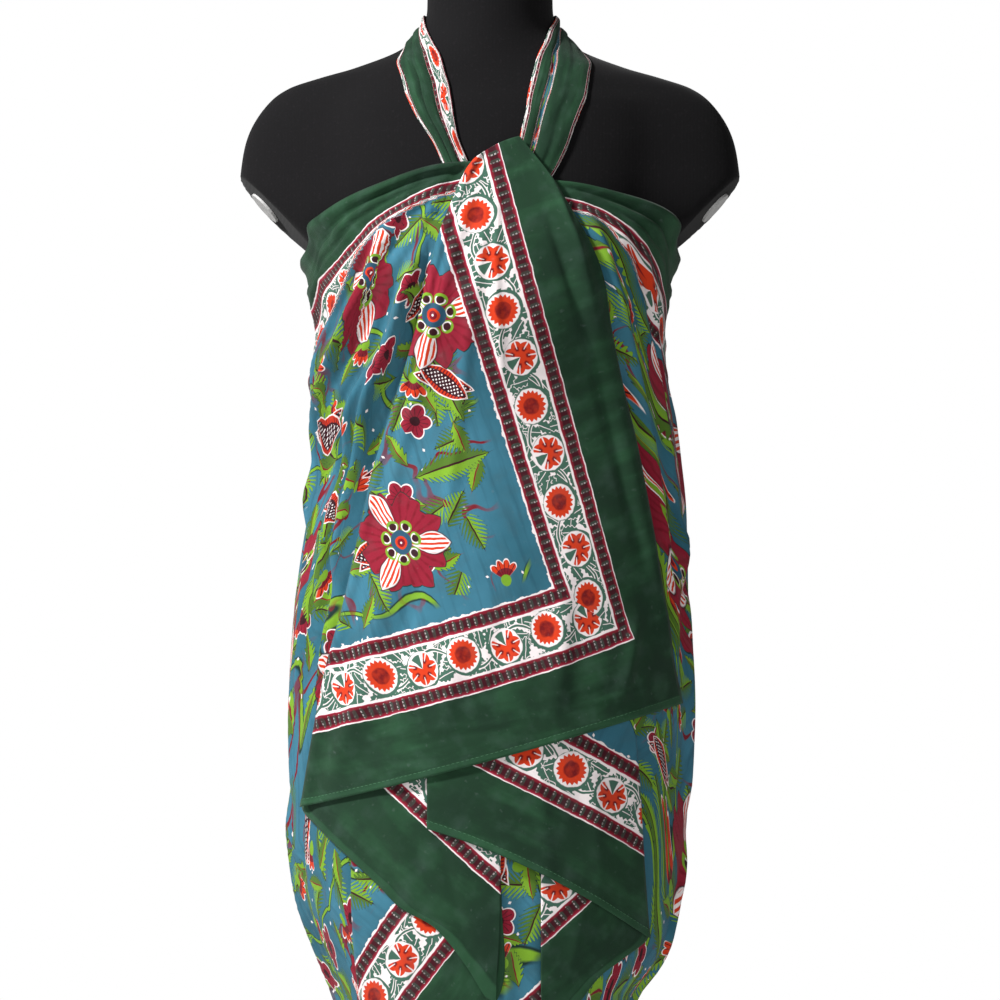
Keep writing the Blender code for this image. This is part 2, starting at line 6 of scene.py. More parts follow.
import bpy
import numpy as np
from mathutils import Vector
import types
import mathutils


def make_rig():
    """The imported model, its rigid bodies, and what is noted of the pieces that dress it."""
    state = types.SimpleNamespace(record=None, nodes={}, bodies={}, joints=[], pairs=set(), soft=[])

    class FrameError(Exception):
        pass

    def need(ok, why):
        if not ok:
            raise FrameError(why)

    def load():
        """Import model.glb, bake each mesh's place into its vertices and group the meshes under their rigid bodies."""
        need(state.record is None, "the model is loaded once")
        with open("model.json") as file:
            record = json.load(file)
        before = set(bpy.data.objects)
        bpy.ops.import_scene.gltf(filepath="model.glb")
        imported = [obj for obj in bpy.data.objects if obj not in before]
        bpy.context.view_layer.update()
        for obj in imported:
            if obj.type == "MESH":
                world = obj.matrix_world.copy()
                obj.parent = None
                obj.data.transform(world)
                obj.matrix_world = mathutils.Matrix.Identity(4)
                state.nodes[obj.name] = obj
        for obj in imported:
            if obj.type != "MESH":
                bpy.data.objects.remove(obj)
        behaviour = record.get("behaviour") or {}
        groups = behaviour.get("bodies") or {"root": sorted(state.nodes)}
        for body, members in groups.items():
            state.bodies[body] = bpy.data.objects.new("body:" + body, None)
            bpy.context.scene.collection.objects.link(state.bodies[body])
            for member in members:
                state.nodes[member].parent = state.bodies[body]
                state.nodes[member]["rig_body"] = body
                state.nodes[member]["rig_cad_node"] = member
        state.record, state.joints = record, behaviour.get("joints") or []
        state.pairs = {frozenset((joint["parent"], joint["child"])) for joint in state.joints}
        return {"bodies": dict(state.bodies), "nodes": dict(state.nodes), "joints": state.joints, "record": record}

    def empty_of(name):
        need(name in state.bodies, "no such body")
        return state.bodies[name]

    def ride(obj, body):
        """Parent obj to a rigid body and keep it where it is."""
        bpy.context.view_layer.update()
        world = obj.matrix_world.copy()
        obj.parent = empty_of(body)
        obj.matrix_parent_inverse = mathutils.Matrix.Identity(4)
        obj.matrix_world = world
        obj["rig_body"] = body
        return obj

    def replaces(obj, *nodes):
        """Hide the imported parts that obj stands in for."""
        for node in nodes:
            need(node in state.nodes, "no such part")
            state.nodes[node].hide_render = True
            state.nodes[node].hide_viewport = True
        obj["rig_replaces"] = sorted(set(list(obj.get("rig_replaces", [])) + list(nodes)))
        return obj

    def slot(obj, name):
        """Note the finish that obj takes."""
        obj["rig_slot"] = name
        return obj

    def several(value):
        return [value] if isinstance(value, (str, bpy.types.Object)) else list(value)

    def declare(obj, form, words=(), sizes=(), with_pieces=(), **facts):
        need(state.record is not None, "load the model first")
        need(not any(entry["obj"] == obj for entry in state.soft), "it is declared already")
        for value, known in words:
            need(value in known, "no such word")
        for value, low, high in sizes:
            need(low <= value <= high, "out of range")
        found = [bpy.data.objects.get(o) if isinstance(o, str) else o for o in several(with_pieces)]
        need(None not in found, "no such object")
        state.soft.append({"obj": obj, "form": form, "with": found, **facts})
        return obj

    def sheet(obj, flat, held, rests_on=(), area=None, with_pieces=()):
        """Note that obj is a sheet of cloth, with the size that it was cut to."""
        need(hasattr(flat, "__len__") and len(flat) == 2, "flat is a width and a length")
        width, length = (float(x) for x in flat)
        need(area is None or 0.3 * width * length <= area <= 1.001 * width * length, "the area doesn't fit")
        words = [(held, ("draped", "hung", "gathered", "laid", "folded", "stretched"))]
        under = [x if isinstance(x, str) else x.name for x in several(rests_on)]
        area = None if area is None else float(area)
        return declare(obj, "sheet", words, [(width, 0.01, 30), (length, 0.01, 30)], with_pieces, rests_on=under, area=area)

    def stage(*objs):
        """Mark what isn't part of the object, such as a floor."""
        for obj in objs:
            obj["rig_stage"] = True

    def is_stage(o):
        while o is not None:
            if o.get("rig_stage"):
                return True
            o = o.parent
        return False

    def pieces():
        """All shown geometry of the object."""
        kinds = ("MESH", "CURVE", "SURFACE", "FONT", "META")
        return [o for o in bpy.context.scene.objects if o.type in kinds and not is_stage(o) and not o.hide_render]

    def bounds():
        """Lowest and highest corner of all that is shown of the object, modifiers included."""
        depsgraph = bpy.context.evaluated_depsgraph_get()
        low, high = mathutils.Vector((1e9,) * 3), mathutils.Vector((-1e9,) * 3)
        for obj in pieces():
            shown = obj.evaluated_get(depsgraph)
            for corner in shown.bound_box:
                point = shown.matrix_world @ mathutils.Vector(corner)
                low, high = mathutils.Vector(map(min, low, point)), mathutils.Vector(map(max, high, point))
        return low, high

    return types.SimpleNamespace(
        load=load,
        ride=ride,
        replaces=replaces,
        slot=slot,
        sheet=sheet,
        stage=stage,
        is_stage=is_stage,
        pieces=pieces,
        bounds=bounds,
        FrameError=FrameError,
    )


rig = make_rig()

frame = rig.load()
cad_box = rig.bounds()

# The dress form: a firm torso covered in matt black jersey, with a flat neck and cut shoulders.
# The jersey is stretched tight and sewn closed under the arms, so it shows only its knit and lint.

MM = 0.001

# Horizontal sections of the form: height, half width with the arm stump, half width of the trunk,
# depth in front of the middle and depth behind it, in mm.
FORM_SECTIONS = (
    (735, 150, 150, 92, 108),
    (800, 160, 160, 102, 119),
    (870, 163, 163, 104, 126),
    (950, 157, 157, 102, 119),
    (1030, 139, 139, 97, 102),
    (1080, 129, 129, 94, 93),
    (1140, 135, 135, 102, 92),
    (1180, 140, 140, 117, 94),
    (1210, 145, 145, 123, 96),
    (1242, 149, 149, 119, 99),
    (1262, 172, 151, 114, 100),
    (1280, 198, 153, 109, 101),
    (1300, 211, 155, 102, 100),
    (1324, 211, 157, 93, 98),
    (1352, 204, 158, 84, 93),
    (1376, 188, 152, 76, 85),
    (1389, 170, 140, 69, 76),
    (1398, 143, 128, 65, 71),
    (1406, 115, 112, 62, 67),
    (1421, 77, 77, 58, 61),
    (1440, 57, 57, 55, 57),
    (1470, 53, 53, 53, 55),
    (1500, 53, 53, 53, 55),
)
STUMP_SPREAD_DEG = 26.0
ARM_CUT_POINT = (0.1905, 1.2880)
ARM_CUT_NORMAL = Vector((0.730, -0.170, -0.662)).normalized()
ARM_CUT_HEIGHTS = (1.250, 1.340)
FORM_SIDES = 180
FORM_RINGS_BETWEEN = 7
FORM_EDGE_DEG = 50.0

JERSEY_BLACK = (0.0016, 0.0015, 0.0020)
JERSEY_FADED = (0.0042, 0.0036, 0.0042)
JERSEY_LINT = (0.014, 0.012, 0.014)
LINT_SCALE = 420.0
KNIT_SCALE = 260.0

# How steeply a mask falls at its edge, for each metre of the value that it is made from.
EDGE_SHARP = 2200.0


class Wire:
    """A value in a material's nodes; arithmetic on it adds Math nodes."""

    def __init__(self, tree, socket=None):
        self.tree, self.socket = tree, socket

    def node(self, kind, settings=(), inputs=(), output=0):
        made = self.tree.nodes.new(kind)
        for name, value in dict(settings).items():
            setattr(made, name, value)
        for key, value in dict(inputs).items():
            if isinstance(value, Wire):
                self.tree.links.new(value.socket, made.inputs[key])
            else:
                made.inputs[key].default_value = value
        return Wire(self.tree, made.outputs[output] if made.outputs else None)

    def beside(self, output):
        """Another output of the node that this value comes from."""
        return Wire(self.tree, self.socket.node.outputs[output])

    def math(self, operation, *values, clamp=False):
        settings = {"operation": operation, "use_clamp": clamp}
        return self.node("ShaderNodeMath", settings, enumerate((self, *values)))

    def vector(self, operation, *values, output=0):
        settings = {"operation": operation}
        return self.node("ShaderNodeVectorMath", settings, enumerate((self, *values)), output)

    def painted(self, colour, mask):
        """This colour, with another over it where the mask is 1."""
        return two_colours(mask, self, colour)

    def noise(self, scale, detail=2.0, output=0):
        inputs = {"Vector": self, "Scale": scale, "Detail": detail}
        return self.node("ShaderNodeTexNoise", (), inputs, output)

    def apart(self):
        """The first two numbers of a vector."""
        first = self.node("ShaderNodeSeparateXYZ", (), {0: self})
        return first, first.beside(1)

    def under(self, limit, sharp=EDGE_SHARP):
        """1 where this value is under the limit, with a soft edge."""
        return (limit - self).math("MULTIPLY", sharp, clamp=True)

    def between(self, low, high, sharp=EDGE_SHARP):
        """1 where this value is between the two limits, with soft edges."""
        return abs(self - (low + high) / 2).under((high - low) / 2, sharp)

    def sine(self, times=1.0, shift=0.0):
        return self.math("MULTIPLY_ADD", times, shift).math("SINE")

    def wrapped(self, half):
        """This value brought into the range from -half to half."""
        return self.math("WRAP", half, -half)

    def __add__(self, other):
        return self.math("ADD", other)

    __radd__ = __add__

    def __sub__(self, other):
        return self.math("SUBTRACT", other)

    def __rsub__(self, other):
        return self.math("MULTIPLY_ADD", -1.0, other)

    def __mul__(self, other):
        return self.math("MULTIPLY", other)

    __rmul__ = __mul__

    def __truediv__(self, other):
        return self.math("DIVIDE", other)

    def __abs__(self):
        return self.math("ABSOLUTE")


def opaque(colour):
    return (*colour, 1.0) if isinstance(colour, tuple) and len(colour) == 3 else colour


def new_material(name):
    """A material, its Principled shader, and a wire to start its nodes from."""
    made = bpy.data.materials.new(name)
    made.use_nodes = True
    return made, made.node_tree.nodes["Principled BSDF"], Wire(made.node_tree)


def feed(shader, socket, wire):
    wire.tree.links.new(wire.socket, shader.inputs[socket])


def two_colours(mask, colour, over):
    """The first colour, with the second over it where the mask is 1."""
    settings = {"data_type": "RGBA", "clamp_factor": True}
    return mask.node("ShaderNodeMix", settings, {0: mask, 6: opaque(colour), 7: opaque(over)}, 2)


def raised(height, strength, distance):
    """A normal raised by this height."""
    inputs = {"Height": height, "Strength": strength, "Distance": distance}
    return height.node("ShaderNodeBump", (), inputs)


def object_place(wire):
    return wire.node("ShaderNodeTexCoord", output="Object")


def jersey():
    made, shader, wire = new_material("black_jersey")
    place = object_place(wire)
    lint = place.noise(LINT_SCALE, 3.0)
    colour = two_colours(place.noise(7.0), JERSEY_BLACK, JERSEY_FADED)
    feed(shader, "Base Color", colour.painted(JERSEY_LINT, (lint - 0.56) * 2.0))
    inputs = {"Vector": place, "Scale": KNIT_SCALE}
    knit = place.node("ShaderNodeTexWave", {"bands_direction": "X"}, inputs)
    feed(shader, "Normal", raised(knit * 0.6 + lint, 0.30, 0.4 * MM))
    feed(shader, "Roughness", lint * 0.12 + 0.84)
    shader.inputs["Specular IOR Level"].default_value = 0.18
    shader.inputs["Sheen Weight"].default_value = 0.05
    shader.inputs["Sheen Roughness"].default_value = 0.45
    return made


def blend(a, b, share):
    return a + (b - a) * share


def ease(low, high, value):
    share = np.clip((value - low) / (high - low), 0.0, 1.0)
    return share * share * (3.0 - 2.0 * share)


def along(table, place, column):
    """The table's column at these places, on a smooth curve through its rows."""
    keys = np.array([row[0] for row in table], float)
    values = np.array([row[column] for row in table], float)
    slopes = np.empty_like(values)
    slopes[1:-1] = (values[2:] - values[:-2]) / (keys[2:] - keys[:-2])
    slopes[0] = (values[1] - values[0]) / (keys[1] - keys[0])
    slopes[-1] = (values[-1] - values[-2]) / (keys[-1] - keys[-2])
    place = np.clip(place, keys[0], keys[-1])
    i = np.clip(np.searchsorted(keys, place, side="right"), 1, len(keys) - 1)
    step = keys[i] - keys[i - 1]
    share = (place - keys[i - 1]) / step
    rise = share * share * (3.0 - 2.0 * share)
    bends = share * (1.0 - share) ** 2 * slopes[i - 1] + share * share * (share - 1.0) * slopes[i]
    return blend(values[i - 1], values[i], rise) + bends * step


def form_points(degrees, z, stand):
    """Points of the form's surface, this far out from it."""
    level, turn = z / MM, np.radians(degrees)
    total, trunk = along(FORM_SECTIONS, level, 1) * MM, along(FORM_SECTIONS, level, 2) * MM
    front, back = along(FORM_SECTIONS, level, 3) * MM, along(FORM_SECTIONS, level, 4) * MM
    depth = np.where(np.cos(turn) > 0, front, back)
    beside = np.degrees(np.arccos(np.minimum(np.abs(np.sin(turn)), 1.0)))
    stump = (total - trunk) * np.exp(-((beside / STUMP_SPREAD_DEG) ** 4))
    x = np.abs(np.sin(turn)) * (trunk + stand) + stump
    y = -(depth + stand) * np.cos(turn)
    lean = ARM_CUT_NORMAL
    reach = ARM_CUT_POINT[0] + (-y * lean.y + (ARM_CUT_POINT[1] - z) * lean.z) / lean.x
    cut = (ARM_CUT_HEIGHTS[0] < z) & (z < ARM_CUT_HEIGHTS[1])
    x = np.where(cut, np.minimum(x, reach), x)
    return np.stack(np.broadcast_arrays(-x * np.sign(np.sin(turn)), y, z), axis=-1)


def placed(name, data):
    """A new object in the scene."""
    made = bpy.data.objects.new(name, data)
    bpy.context.scene.collection.objects.link(made)
    return made


def new_piece(name, mesh, look):
    mesh.materials.append(look)
    mesh.shade_smooth()
    return placed(name, mesh)


def dress_form():
    """Rings through the form's sections, closed at the neck and under the hip."""
    levels = np.array([row[0] for row in FORM_SECTIONS], float) * MM
    steps = np.linspace(0, 1, FORM_RINGS_BETWEEN, endpoint=False)
    z = np.concatenate([blend(a, b, steps) for a, b in zip(levels, levels[1:])] + [levels[-1:]])
    degrees = np.linspace(0, 360, FORM_SIDES, endpoint=False)[None, :]
    rings = form_points(degrees, z[:, None], 0.0)
    count = len(z)
    index = np.arange(count * FORM_SIDES).reshape(count, FORM_SIDES)
    after = np.roll(index, -1, axis=1)
    quads = np.stack([index[:-1].ravel(), index[1:].ravel(), after[1:].ravel(), after[:-1].ravel()], -1)
    faces = quads.tolist() + [index[0].tolist(), index[-1][::-1].tolist()]
    mesh = bpy.data.meshes.new("dress_form")
    mesh.from_pydata(rings.reshape(-1, 3).tolist(), [], faces)
    made = new_piece("dress_form_jersey", mesh, jersey())
    mesh.set_sharp_from_angle(angle=math.radians(FORM_EDGE_DEG))
    return made


form = dress_form()
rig.ride(form, "root")
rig.replaces(form, "dress_form")
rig.slot(form, "form_jersey")

# The arm plates: pale satin plastic ovals, moulded with a fine speckle. Each closes a cut shoulder and
# is held from inside by a screw that doesn't show.

PLATE_GREY = (0.30, 0.30, 0.30)
PLATE_PALE = (0.62, 0.61, 0.60)
SPECKLE_SCALE = 260.0


def plate_plastic():
    made, shader, wire = new_material("arm_plate_plastic")
    speckle = object_place(wire).noise(SPECKLE_SCALE, 3.0)
    feed(shader, "Base Color", two_colours(speckle, PLATE_GREY, PLATE_PALE))
    feed(shader, "Roughness", speckle * 0.3 + 0.35)
    feed(shader, "Normal", raised(speckle, 0.2, 0.4 * MM))
    return made


def refinish(nodes, look):
    """Gives the CAD model's own objects a better material."""
    for node in nodes:
        slots = frame["nodes"][node].data.materials
        slots.clear()
        slots.append(look)


refinish(("arm_plate_left", "arm_plate_right"), plate_plastic())

# The stand: a round base and a pole of black painted steel, screwed together, which carry the form on
# a socket inside it, and a flat cap of the same steel let into the neck.

STEEL_BLACK = (0.012, 0.012, 0.013)
STEEL_WORN = (0.035, 0.034, 0.034)
PEEL_SCALE = 340.0


def painted_steel():
    made, shader, wire = new_material("painted_steel")
    place = object_place(wire)
    peel, wear = place.noise(PEEL_SCALE), place.noise(14.0, 4.0)
    feed(shader, "Base Color", two_colours(wear, STEEL_BLACK, STEEL_WORN))
    feed(shader, "Roughness", wear * 0.25 + 0.3)
    feed(shader, "Normal", raised(peel, 0.15, 0.3 * MM))
    shader.inputs["Coat Weight"].default_value = 0.3
    return made


refinish(("stand_base", "stand_pole", "neck_cap"), painted_steel())

# The body wrap: one stretch of the thin cotton, from the left of the front round the back to the right
# of it. Its plain border is gathered at the bust band and pulled into long folds towards the crossing;
# below the hips it hangs open, with its narrow double hem at the foot.

CUT_LONG = 1.800
CUT_SHORT = 1.100
GREEN_WIDE = 0.060
COTTON_THICK = 0.7 * MM
COTTON_SEAT = 0.65 * MM
HEM_WIDE = 7.0 * MM

# Height, half width on the left and on the right, depth in front of the middle and behind it, in mm.
CLOTH_SECTIONS = (
    (170, 121, 123, 88, 102),
    (300, 116, 118, 83, 97),
    (450, 109, 111, 78, 92),
    (550, 112, 112, 80, 94),
    (614, 124, 118, 88, 98),
    (642, 135, 138, 92, 102),
    (661, 143, 147, 96, 106),
    (696, 156, 155, 102, 113),
    (744, 164, 164, 108, 120),
    (799, 168, 168, 113, 128),
    (869, 170, 171, 115, 136),
    (940, 166, 167, 113, 131),
    (971, 161, 166, 112, 127),
    (1035, 148, 162, 108, 112),
    (1075, 138, 157, 106, 104),
    (1129, 148, 150, 113, 102),
    (1183, 147, 148, 129, 104),
    (1209, 151, 152, 133, 106),
    (1226, 154, 154, 132, 107),
    (1257, 165, 167, 127, 109),
    (1274, 178, 182, 119, 110),
    (1300, 182, 186, 108.5, 112),
    (1330, 184, 188, 97.4, 112),
    (1360, 184, 188, 88, 112),
)

# Height, and where the wrap's left and right front ends lie, in mm.
WRAP_ENDS = (
    (170, 8, 42),
    (500, 8, 40),
    (600, -4, 52),
    (670, -30, 72),
    (750, -62, 92),
    (850, -88, 106),
    (945, -92, 104),
    (1020, -76, 98),
    (1115, -52, 78),
    (1180, -34, 66),
    (1260, -18, 48),
    (1330, -4, 30),
)

# Degrees round from the middle of the front by the left side, height of the top edge in mm, how much
# of the plain border is rolled under there, and how much of the print is lost in a tuck, in mm.
TOP_EDGE = (
    (0, 1325, 45, 52),
    (8, 1324, 44, 52),
    (16, 1320, 40, 51),
    (29, 1306, 32, 49),
    (38, 1296, 25, 44),
    (50, 1281, 18, 31),
    (60, 1271, 14, 20),
    (66, 1259, 11, 12),
    (72, 1250, 10, 6),
    (80, 1244, 9, 0),
    (90, 1240, 8, 0),
    (120, 1237, 8, 0),
    (180, 1230, 8, 0),
    (240, 1237, 8, 0),
    (270, 1240, 8, 0),
    (280, 1244, 9, 0),
    (288, 1250, 10, 0),
    (294, 1260, 12, 0),
    (300, 1273, 15, 0),
    (312, 1286, 24, 6),
    (327, 1298, 37, 46),
    (340, 1307, 45, 52),
    (360, 1312, 47, 52),
)
TOP_ENDS = ((-0.004, 1.326), (0.030, 1.312))
TOP_ROLL = 5.0 * MM
HEM_HEIGHT = 0.190
HEM_FRONT_RISE = 0.110
HEM_RISE_SPREAD = 0.10

# The beaded band is cut wider near the front, by up to this much over this many degrees, and a tuck
# takes up this share more of the plain border than of the print.
PRINT_PINCH = 5.0 * MM
PINCH_SPREAD = 48.0
PLAIN_TUCKED = 0.45
TUCK_WIDE = 2.0 * MM

# The cloth sinks beside the front panel's left edge: degrees from that edge, width in degrees, depth,
# and the heights between which it fades.
EDGE_TROUGH = (2.2, 1.5, 4.0 * MM, (1.300, 1.325))

# The grid has fewer columns round the back, between these shares of the way round, and more rows above
# this share of the way up.
WRAP_COLUMNS = 210
BACK_SPARSE = 0.55
BACK_STARTS = (0.24, 0.32)
BACK_ENDS = (0.70, 0.78)
BUST_FROM = 0.79
SKIRT_ROWS = 111
BUST_ROWS = 105
BACK_U = 0.80

# Side, degrees away from straight down, spread in degrees, height in mm, and where the fold starts and
# ends, in mm from its root.
PULL_FOLDS = (
    ("left", 26, 3.4, 5.0, 60, 420),
    ("left", 34, 3.6, 6.0, 50, 320),
    ("left", 47, 4.5, 5.0, 50, 220),
    ("right", 8, 4.0, 1.5, 70, 420),
    ("right", 20, 4.5, 2.5, 60, 330),
)
FOLD_ROOTS = {"left": (-0.017, 1.330), "right": (0.062, 1.330)}
SKIRT_FOLD_TOP = 0.800
SKIRT_FOLD_HEIGHT = 10.0 * MM
SKIRT_FOLDS = ((11, 0.4, 0.60), (7, 1.9, 0.40))
SKIRT_CALM = 0.85
SKIRT_CALM_SPREAD = 50.0

# Long folds: half width and height in mm, then the line they follow, as height in mm and
# degrees, from the foot up. The first ones are on the left, then the right, the back and the skirt.
LONG_FOLDS = (
    (6.5, 9.5, ((1002, 80), (1098, 72), (1199, 46), (1292, 22))),
    (6.0, 9.0, ((960, 54), (1040, 51.5), (1081, 49.5), (1166, 34), (1250, 21))),
    (5.0, -4.0, ((1010, 68), (1098, 61.5), (1162, 42.6), (1240, 26))),
    (4.5, 4.4, ((930, 60), (1010, 60), (1085, 57.5), (1150, 43))),
    (4.0, 3.6, ((1120, 82), (1180, 66), (1232, 46), (1285, 27))),
    (4.0, 3.0, ((1175, 86), (1215, 71), (1250, 52))),
    (7.0, 6.0, ((850, 70), (930, 66), (1000, 63), (1060, 65))),
    (5.0, -3.5, ((870, 62), (940, 58), (1005, 56))),
    (8.0, 3.5, ((760, 78), (860, 76), (960, 72), (1020, 84))),
    (5.0, 2.6, ((820, 62), (900, 57), (960, 56))),
    (6.0, 6.5, ((960, 297), (1040, 301), (1107, 304), (1180, 312), (1243, 324), (1292, 338))),
    (4.5, -2.2, ((980, 301), (1107, 309), (1190, 318), (1250, 330))),
    (5.0, 4.6, ((940, 289), (1040, 289), (1124, 292), (1200, 304), (1270, 322))),
    (4.0, 2.2, ((1100, 283), (1180, 290), (1240, 304), (1276, 316))),
    (7.0, 5.0, ((800, 292), (880, 295), (960, 293), (1040, 284))),
    (5.5, 2.8, ((840, 300), (900, 302), (970, 300))),
    (9.0, 4.0, ((760, 280), (880, 282), (980, 279))),
    (9.0, 4.5, ((840, 112), (940, 106), (1040, 100), (1140, 96))),
    (7.0, 3.5, ((900, 134), (1000, 130), (1100, 128), (1180, 133))),
    (10.0, 4.5, ((800, 158), (940, 155), (1060, 160), (1160, 158))),
    (7.0, 3.8, ((880, 186), (1000, 184), (1110, 190))),
    (9.0, 4.2, ((820, 214), (960, 210), (1080, 206), (1170, 212))),
    (7.0, 3.4, ((920, 236), (1040, 238), (1140, 232))),
    (9.0, 4.0, ((800, 258), (940, 256), (1060, 262), (1150, 266))),
    (8.0, 5.0, ((200, 96), (420, 99), (620, 94), (800, 88))),
    (6.0, 4.0, ((190, 122), (400, 118), (640, 121), (840, 125))),
    (9.0, 5.5, ((190, 148), (430, 152), (660, 148), (820, 146))),
    (6.5, 4.5, ((190, 171), (380, 174), (600, 170), (780, 172))),
    (8.5, 5.5, ((190, 201), (450, 198), (700, 202), (850, 200))),
    (6.0, 4.0, ((190, 224), (410, 228), (650, 226), (800, 222))),
    (9.0, 5.0, ((190, 251), (430, 247), (640, 250), (790, 254))),
    (7.0, 4.5, ((200, 272), (420, 276), (600, 273), (760, 275))),
    (5.5, 5.5, ((500, 65), (640, 62), (755, 64))),
    (4.5, -3.0, ((540, 57), (640, 56), (730, 57))),
    (6.0, 5.0, ((520, 80), (660, 76), (775, 80))),
    (5.5, 5.0, ((520, 287), (680, 290), (800, 289))),
    (5.0, 3.0, ((260, 74), (380, 72), (500, 71))),
    (5.0, 3.0, ((260, 303), (460, 301), (620, 300), (740, 297))),
)

# A fold fades in over this length, starts a little before its line, and is measured over a step on
# each side, all in mm. Pace is mm for one degree round the wrap, and growth how much higher than in
# the table the folds stand.
FOLD_FADE = 45.0
FOLD_LEAD = 5.0
FOLD_STEP = 4.0
FOLD_PACE = 2.6
FOLD_GROWTH = 1.5
DEEPEST_FOLD = 4.5 * MM

# Degrees away from the front panel's edges over which the wrap's folds begin.
FOLDS_BEGIN = (0.5, 4.5)

# Degrees round, and how much cloth a fold there takes up, as a multiple of its height.
TUCKED = ((0, 2.4), (90, 2.4), (110, 1.0), (240, 1.0), (270, 0.5), (360, 0.5))

# Rows of the front panel, which the folds stop at, from the hem up: left end and right end of a row,
# across and up, with the height of its middle above a straight line, all in mm.
FRONT_PANEL_ROWS = (
    (-160, 779, 163, 867, -3),
    (-151, 833, 154, 911, -2),
    (-138, 899, 143, 962, 0),
    (-123, 954, 136, 1013, 0),
    (-108, 1022, 124, 1081, 0),
    (-95, 1080, 112, 1128, 0),
    (-78, 1132, 102, 1179, 0),
    (-62, 1188, 96, 1222, 0),
    (-45, 1256, 84, 1256, 0),
    (-30, 1296, 64, 1290, 2),
    (-21, 1316, 46, 1319, 5),
    (-14, 1326, 25, 1346, 3),
)
PANEL_OUT = 4.0 * MM

# Creases that run along the top edge: how far under it, as a share of the plain border that shows,
# half width and height in mm. They are calm at the sides, where the band is also pulled inwards.
BAND_CREASES = (
    (0.12, 4.2, 6.4),
    (0.40, 2.2, -4.2),
    (0.54, 2.6, 3.6),
    (0.70, 1.9, -2.4),
    (0.84, 2.6, 2.6),
    (1.08, 2.0, -1.8),
    (1.50, 3.6, 2.8),
    (2.05, 4.2, 2.2),
)
BAND_SWAY = 1.2
BAND_CALM = 0.62
BAND_CALM_FROM = (44.0, 72.0)
BAND_PULL = 4.5 * MM
BAND_PULL_AT = 62.0
BAND_PULL_SPREAD = 13.0
BAND_PULL_DEEP = 34.0 * MM

# How far round the front, as a share of the half width, places across are turned into degrees.
FRONT_REACH = 0.985


def creases(across, place, table, pace=1.0):
    """How far a table's folds lift the cloth, and how much cloth is lost in them, in metres.

    Pace is mm for one step across.
    """
    lift = np.zeros(np.broadcast(across, place).shape)
    lost = np.zeros_like(lift)
    for half_width, height, line in table:
        first, last = line[0][0], line[-1][0]
        drift = along(line, place + FOLD_STEP, 1) - along(line, place - FOLD_STEP, 1)
        tilt = drift / (2 * FOLD_STEP) * pace
        away = (across - along(line, place, 1)) * pace / np.sqrt(1 + tilt * tilt)
        fade = min(FOLD_FADE, (last - first) * 0.4)
        ends = ease(first - FOLD_LEAD, first + fade, place)
        ends = ends * (1 - ease(last - fade, last + FOLD_LEAD, place))
        lift += height * MM * ends * np.exp(-((away / half_width) ** 2))
        taken = along(TUCKED, line[0][1], 1) * abs(height) * MM
        lost += taken * ends * ease(-1.6, 1.6, away + half_width * 0.9)
    return lift, lost


def band_creases(degrees, drop):
    """How far the creases under the top edge lift the cloth, in metres."""
    shown = np.maximum(GREEN_WIDE / MM - along(TOP_EDGE, degrees, 2), 8.0)
    lift = 0.0
    for k, (share, half_width, height) in enumerate(BAND_CREASES):
        sway = BAND_SWAY * np.sin(np.radians(degrees) * (3 + k) + 1.7 * k)
        away = drop / MM - shown * share - sway
        swell = 0.75 + 0.25 * np.sin(np.radians(degrees) * (5 + 2 * k) + k)
        lift = lift + height * MM * swell * np.exp(-((away / half_width) ** 2))
    from_front = np.minimum(degrees % 360, 360 - degrees % 360)
    calm = 1.0 - BAND_CALM * ease(*BAND_CALM_FROM, from_front)
    pull = np.exp(-(((from_front - BAND_PULL_AT) / BAND_PULL_SPREAD) ** 2))
    return lift * calm - BAND_PULL * pull * (1 - ease(0.0, BAND_PULL_DEEP, drop))


def fold_height(x, z, degrees):
    """How far the broad folds lift the wrapped cloth at places on it."""
    lift = np.zeros_like(x)
    for side, angle, spread, height, start, end in PULL_FOLDS:
        root_x, root_z = FOLD_ROOTS[side]
        sign = -1 if side == "left" else 1
        across, down = (x - root_x) * sign, root_z - z
        facing = (degrees < 90) if side == "left" else (degrees > 270)
        reach = np.hypot(across, down)
        turn = np.degrees(np.arctan2(np.abs(across), down))
        start, end = start * MM, end * MM
        fade = ease(start * 0.3, start, reach) * (1 - ease(end * 0.6, end, reach))
        ridge = np.exp(-(((turn - angle) / spread) ** 2))
        lift += np.where(facing & (across > 0), height * MM * ridge * fade, 0.0)
    hang = 1.0 - ease(HEM_HEIGHT, SKIRT_FOLD_TOP, z)
    from_front = (degrees + 180) % 360 - 180
    calm = 1.0 - SKIRT_CALM * np.exp(-((from_front / SKIRT_CALM_SPREAD) ** 2))
    for count, phase, share in SKIRT_FOLDS:
        wave = 0.5 * (1 + np.cos(count * np.radians(degrees) + phase))
        lift += SKIRT_FOLD_HEIGHT * share * hang * calm * wave
    return lift


def half_axes(level, left, front):
    """Half width and depth of the wrapped surface on these sides of it."""
    width = np.where(left, along(CLOTH_SECTIONS, level, 1), along(CLOTH_SECTIONS, level, 2))
    depth = np.where(front, along(CLOTH_SECTIONS, level, 3), along(CLOTH_SECTIONS, level, 4))
    return width * MM, depth * MM


def on_wrap(degrees, z, stand):
    """Points of the wrapped surface, this far out from it."""
    turn = np.radians(degrees)
    width, depth = half_axes(z / MM, np.sin(turn) > 0, np.cos(turn) > 0)
    lift = stand + fold_height(-width * np.sin(turn), z, degrees % 360)
    return np.stack([-(width + lift) * np.sin(turn), -(depth + lift) * np.cos(turn), z], axis=-1)


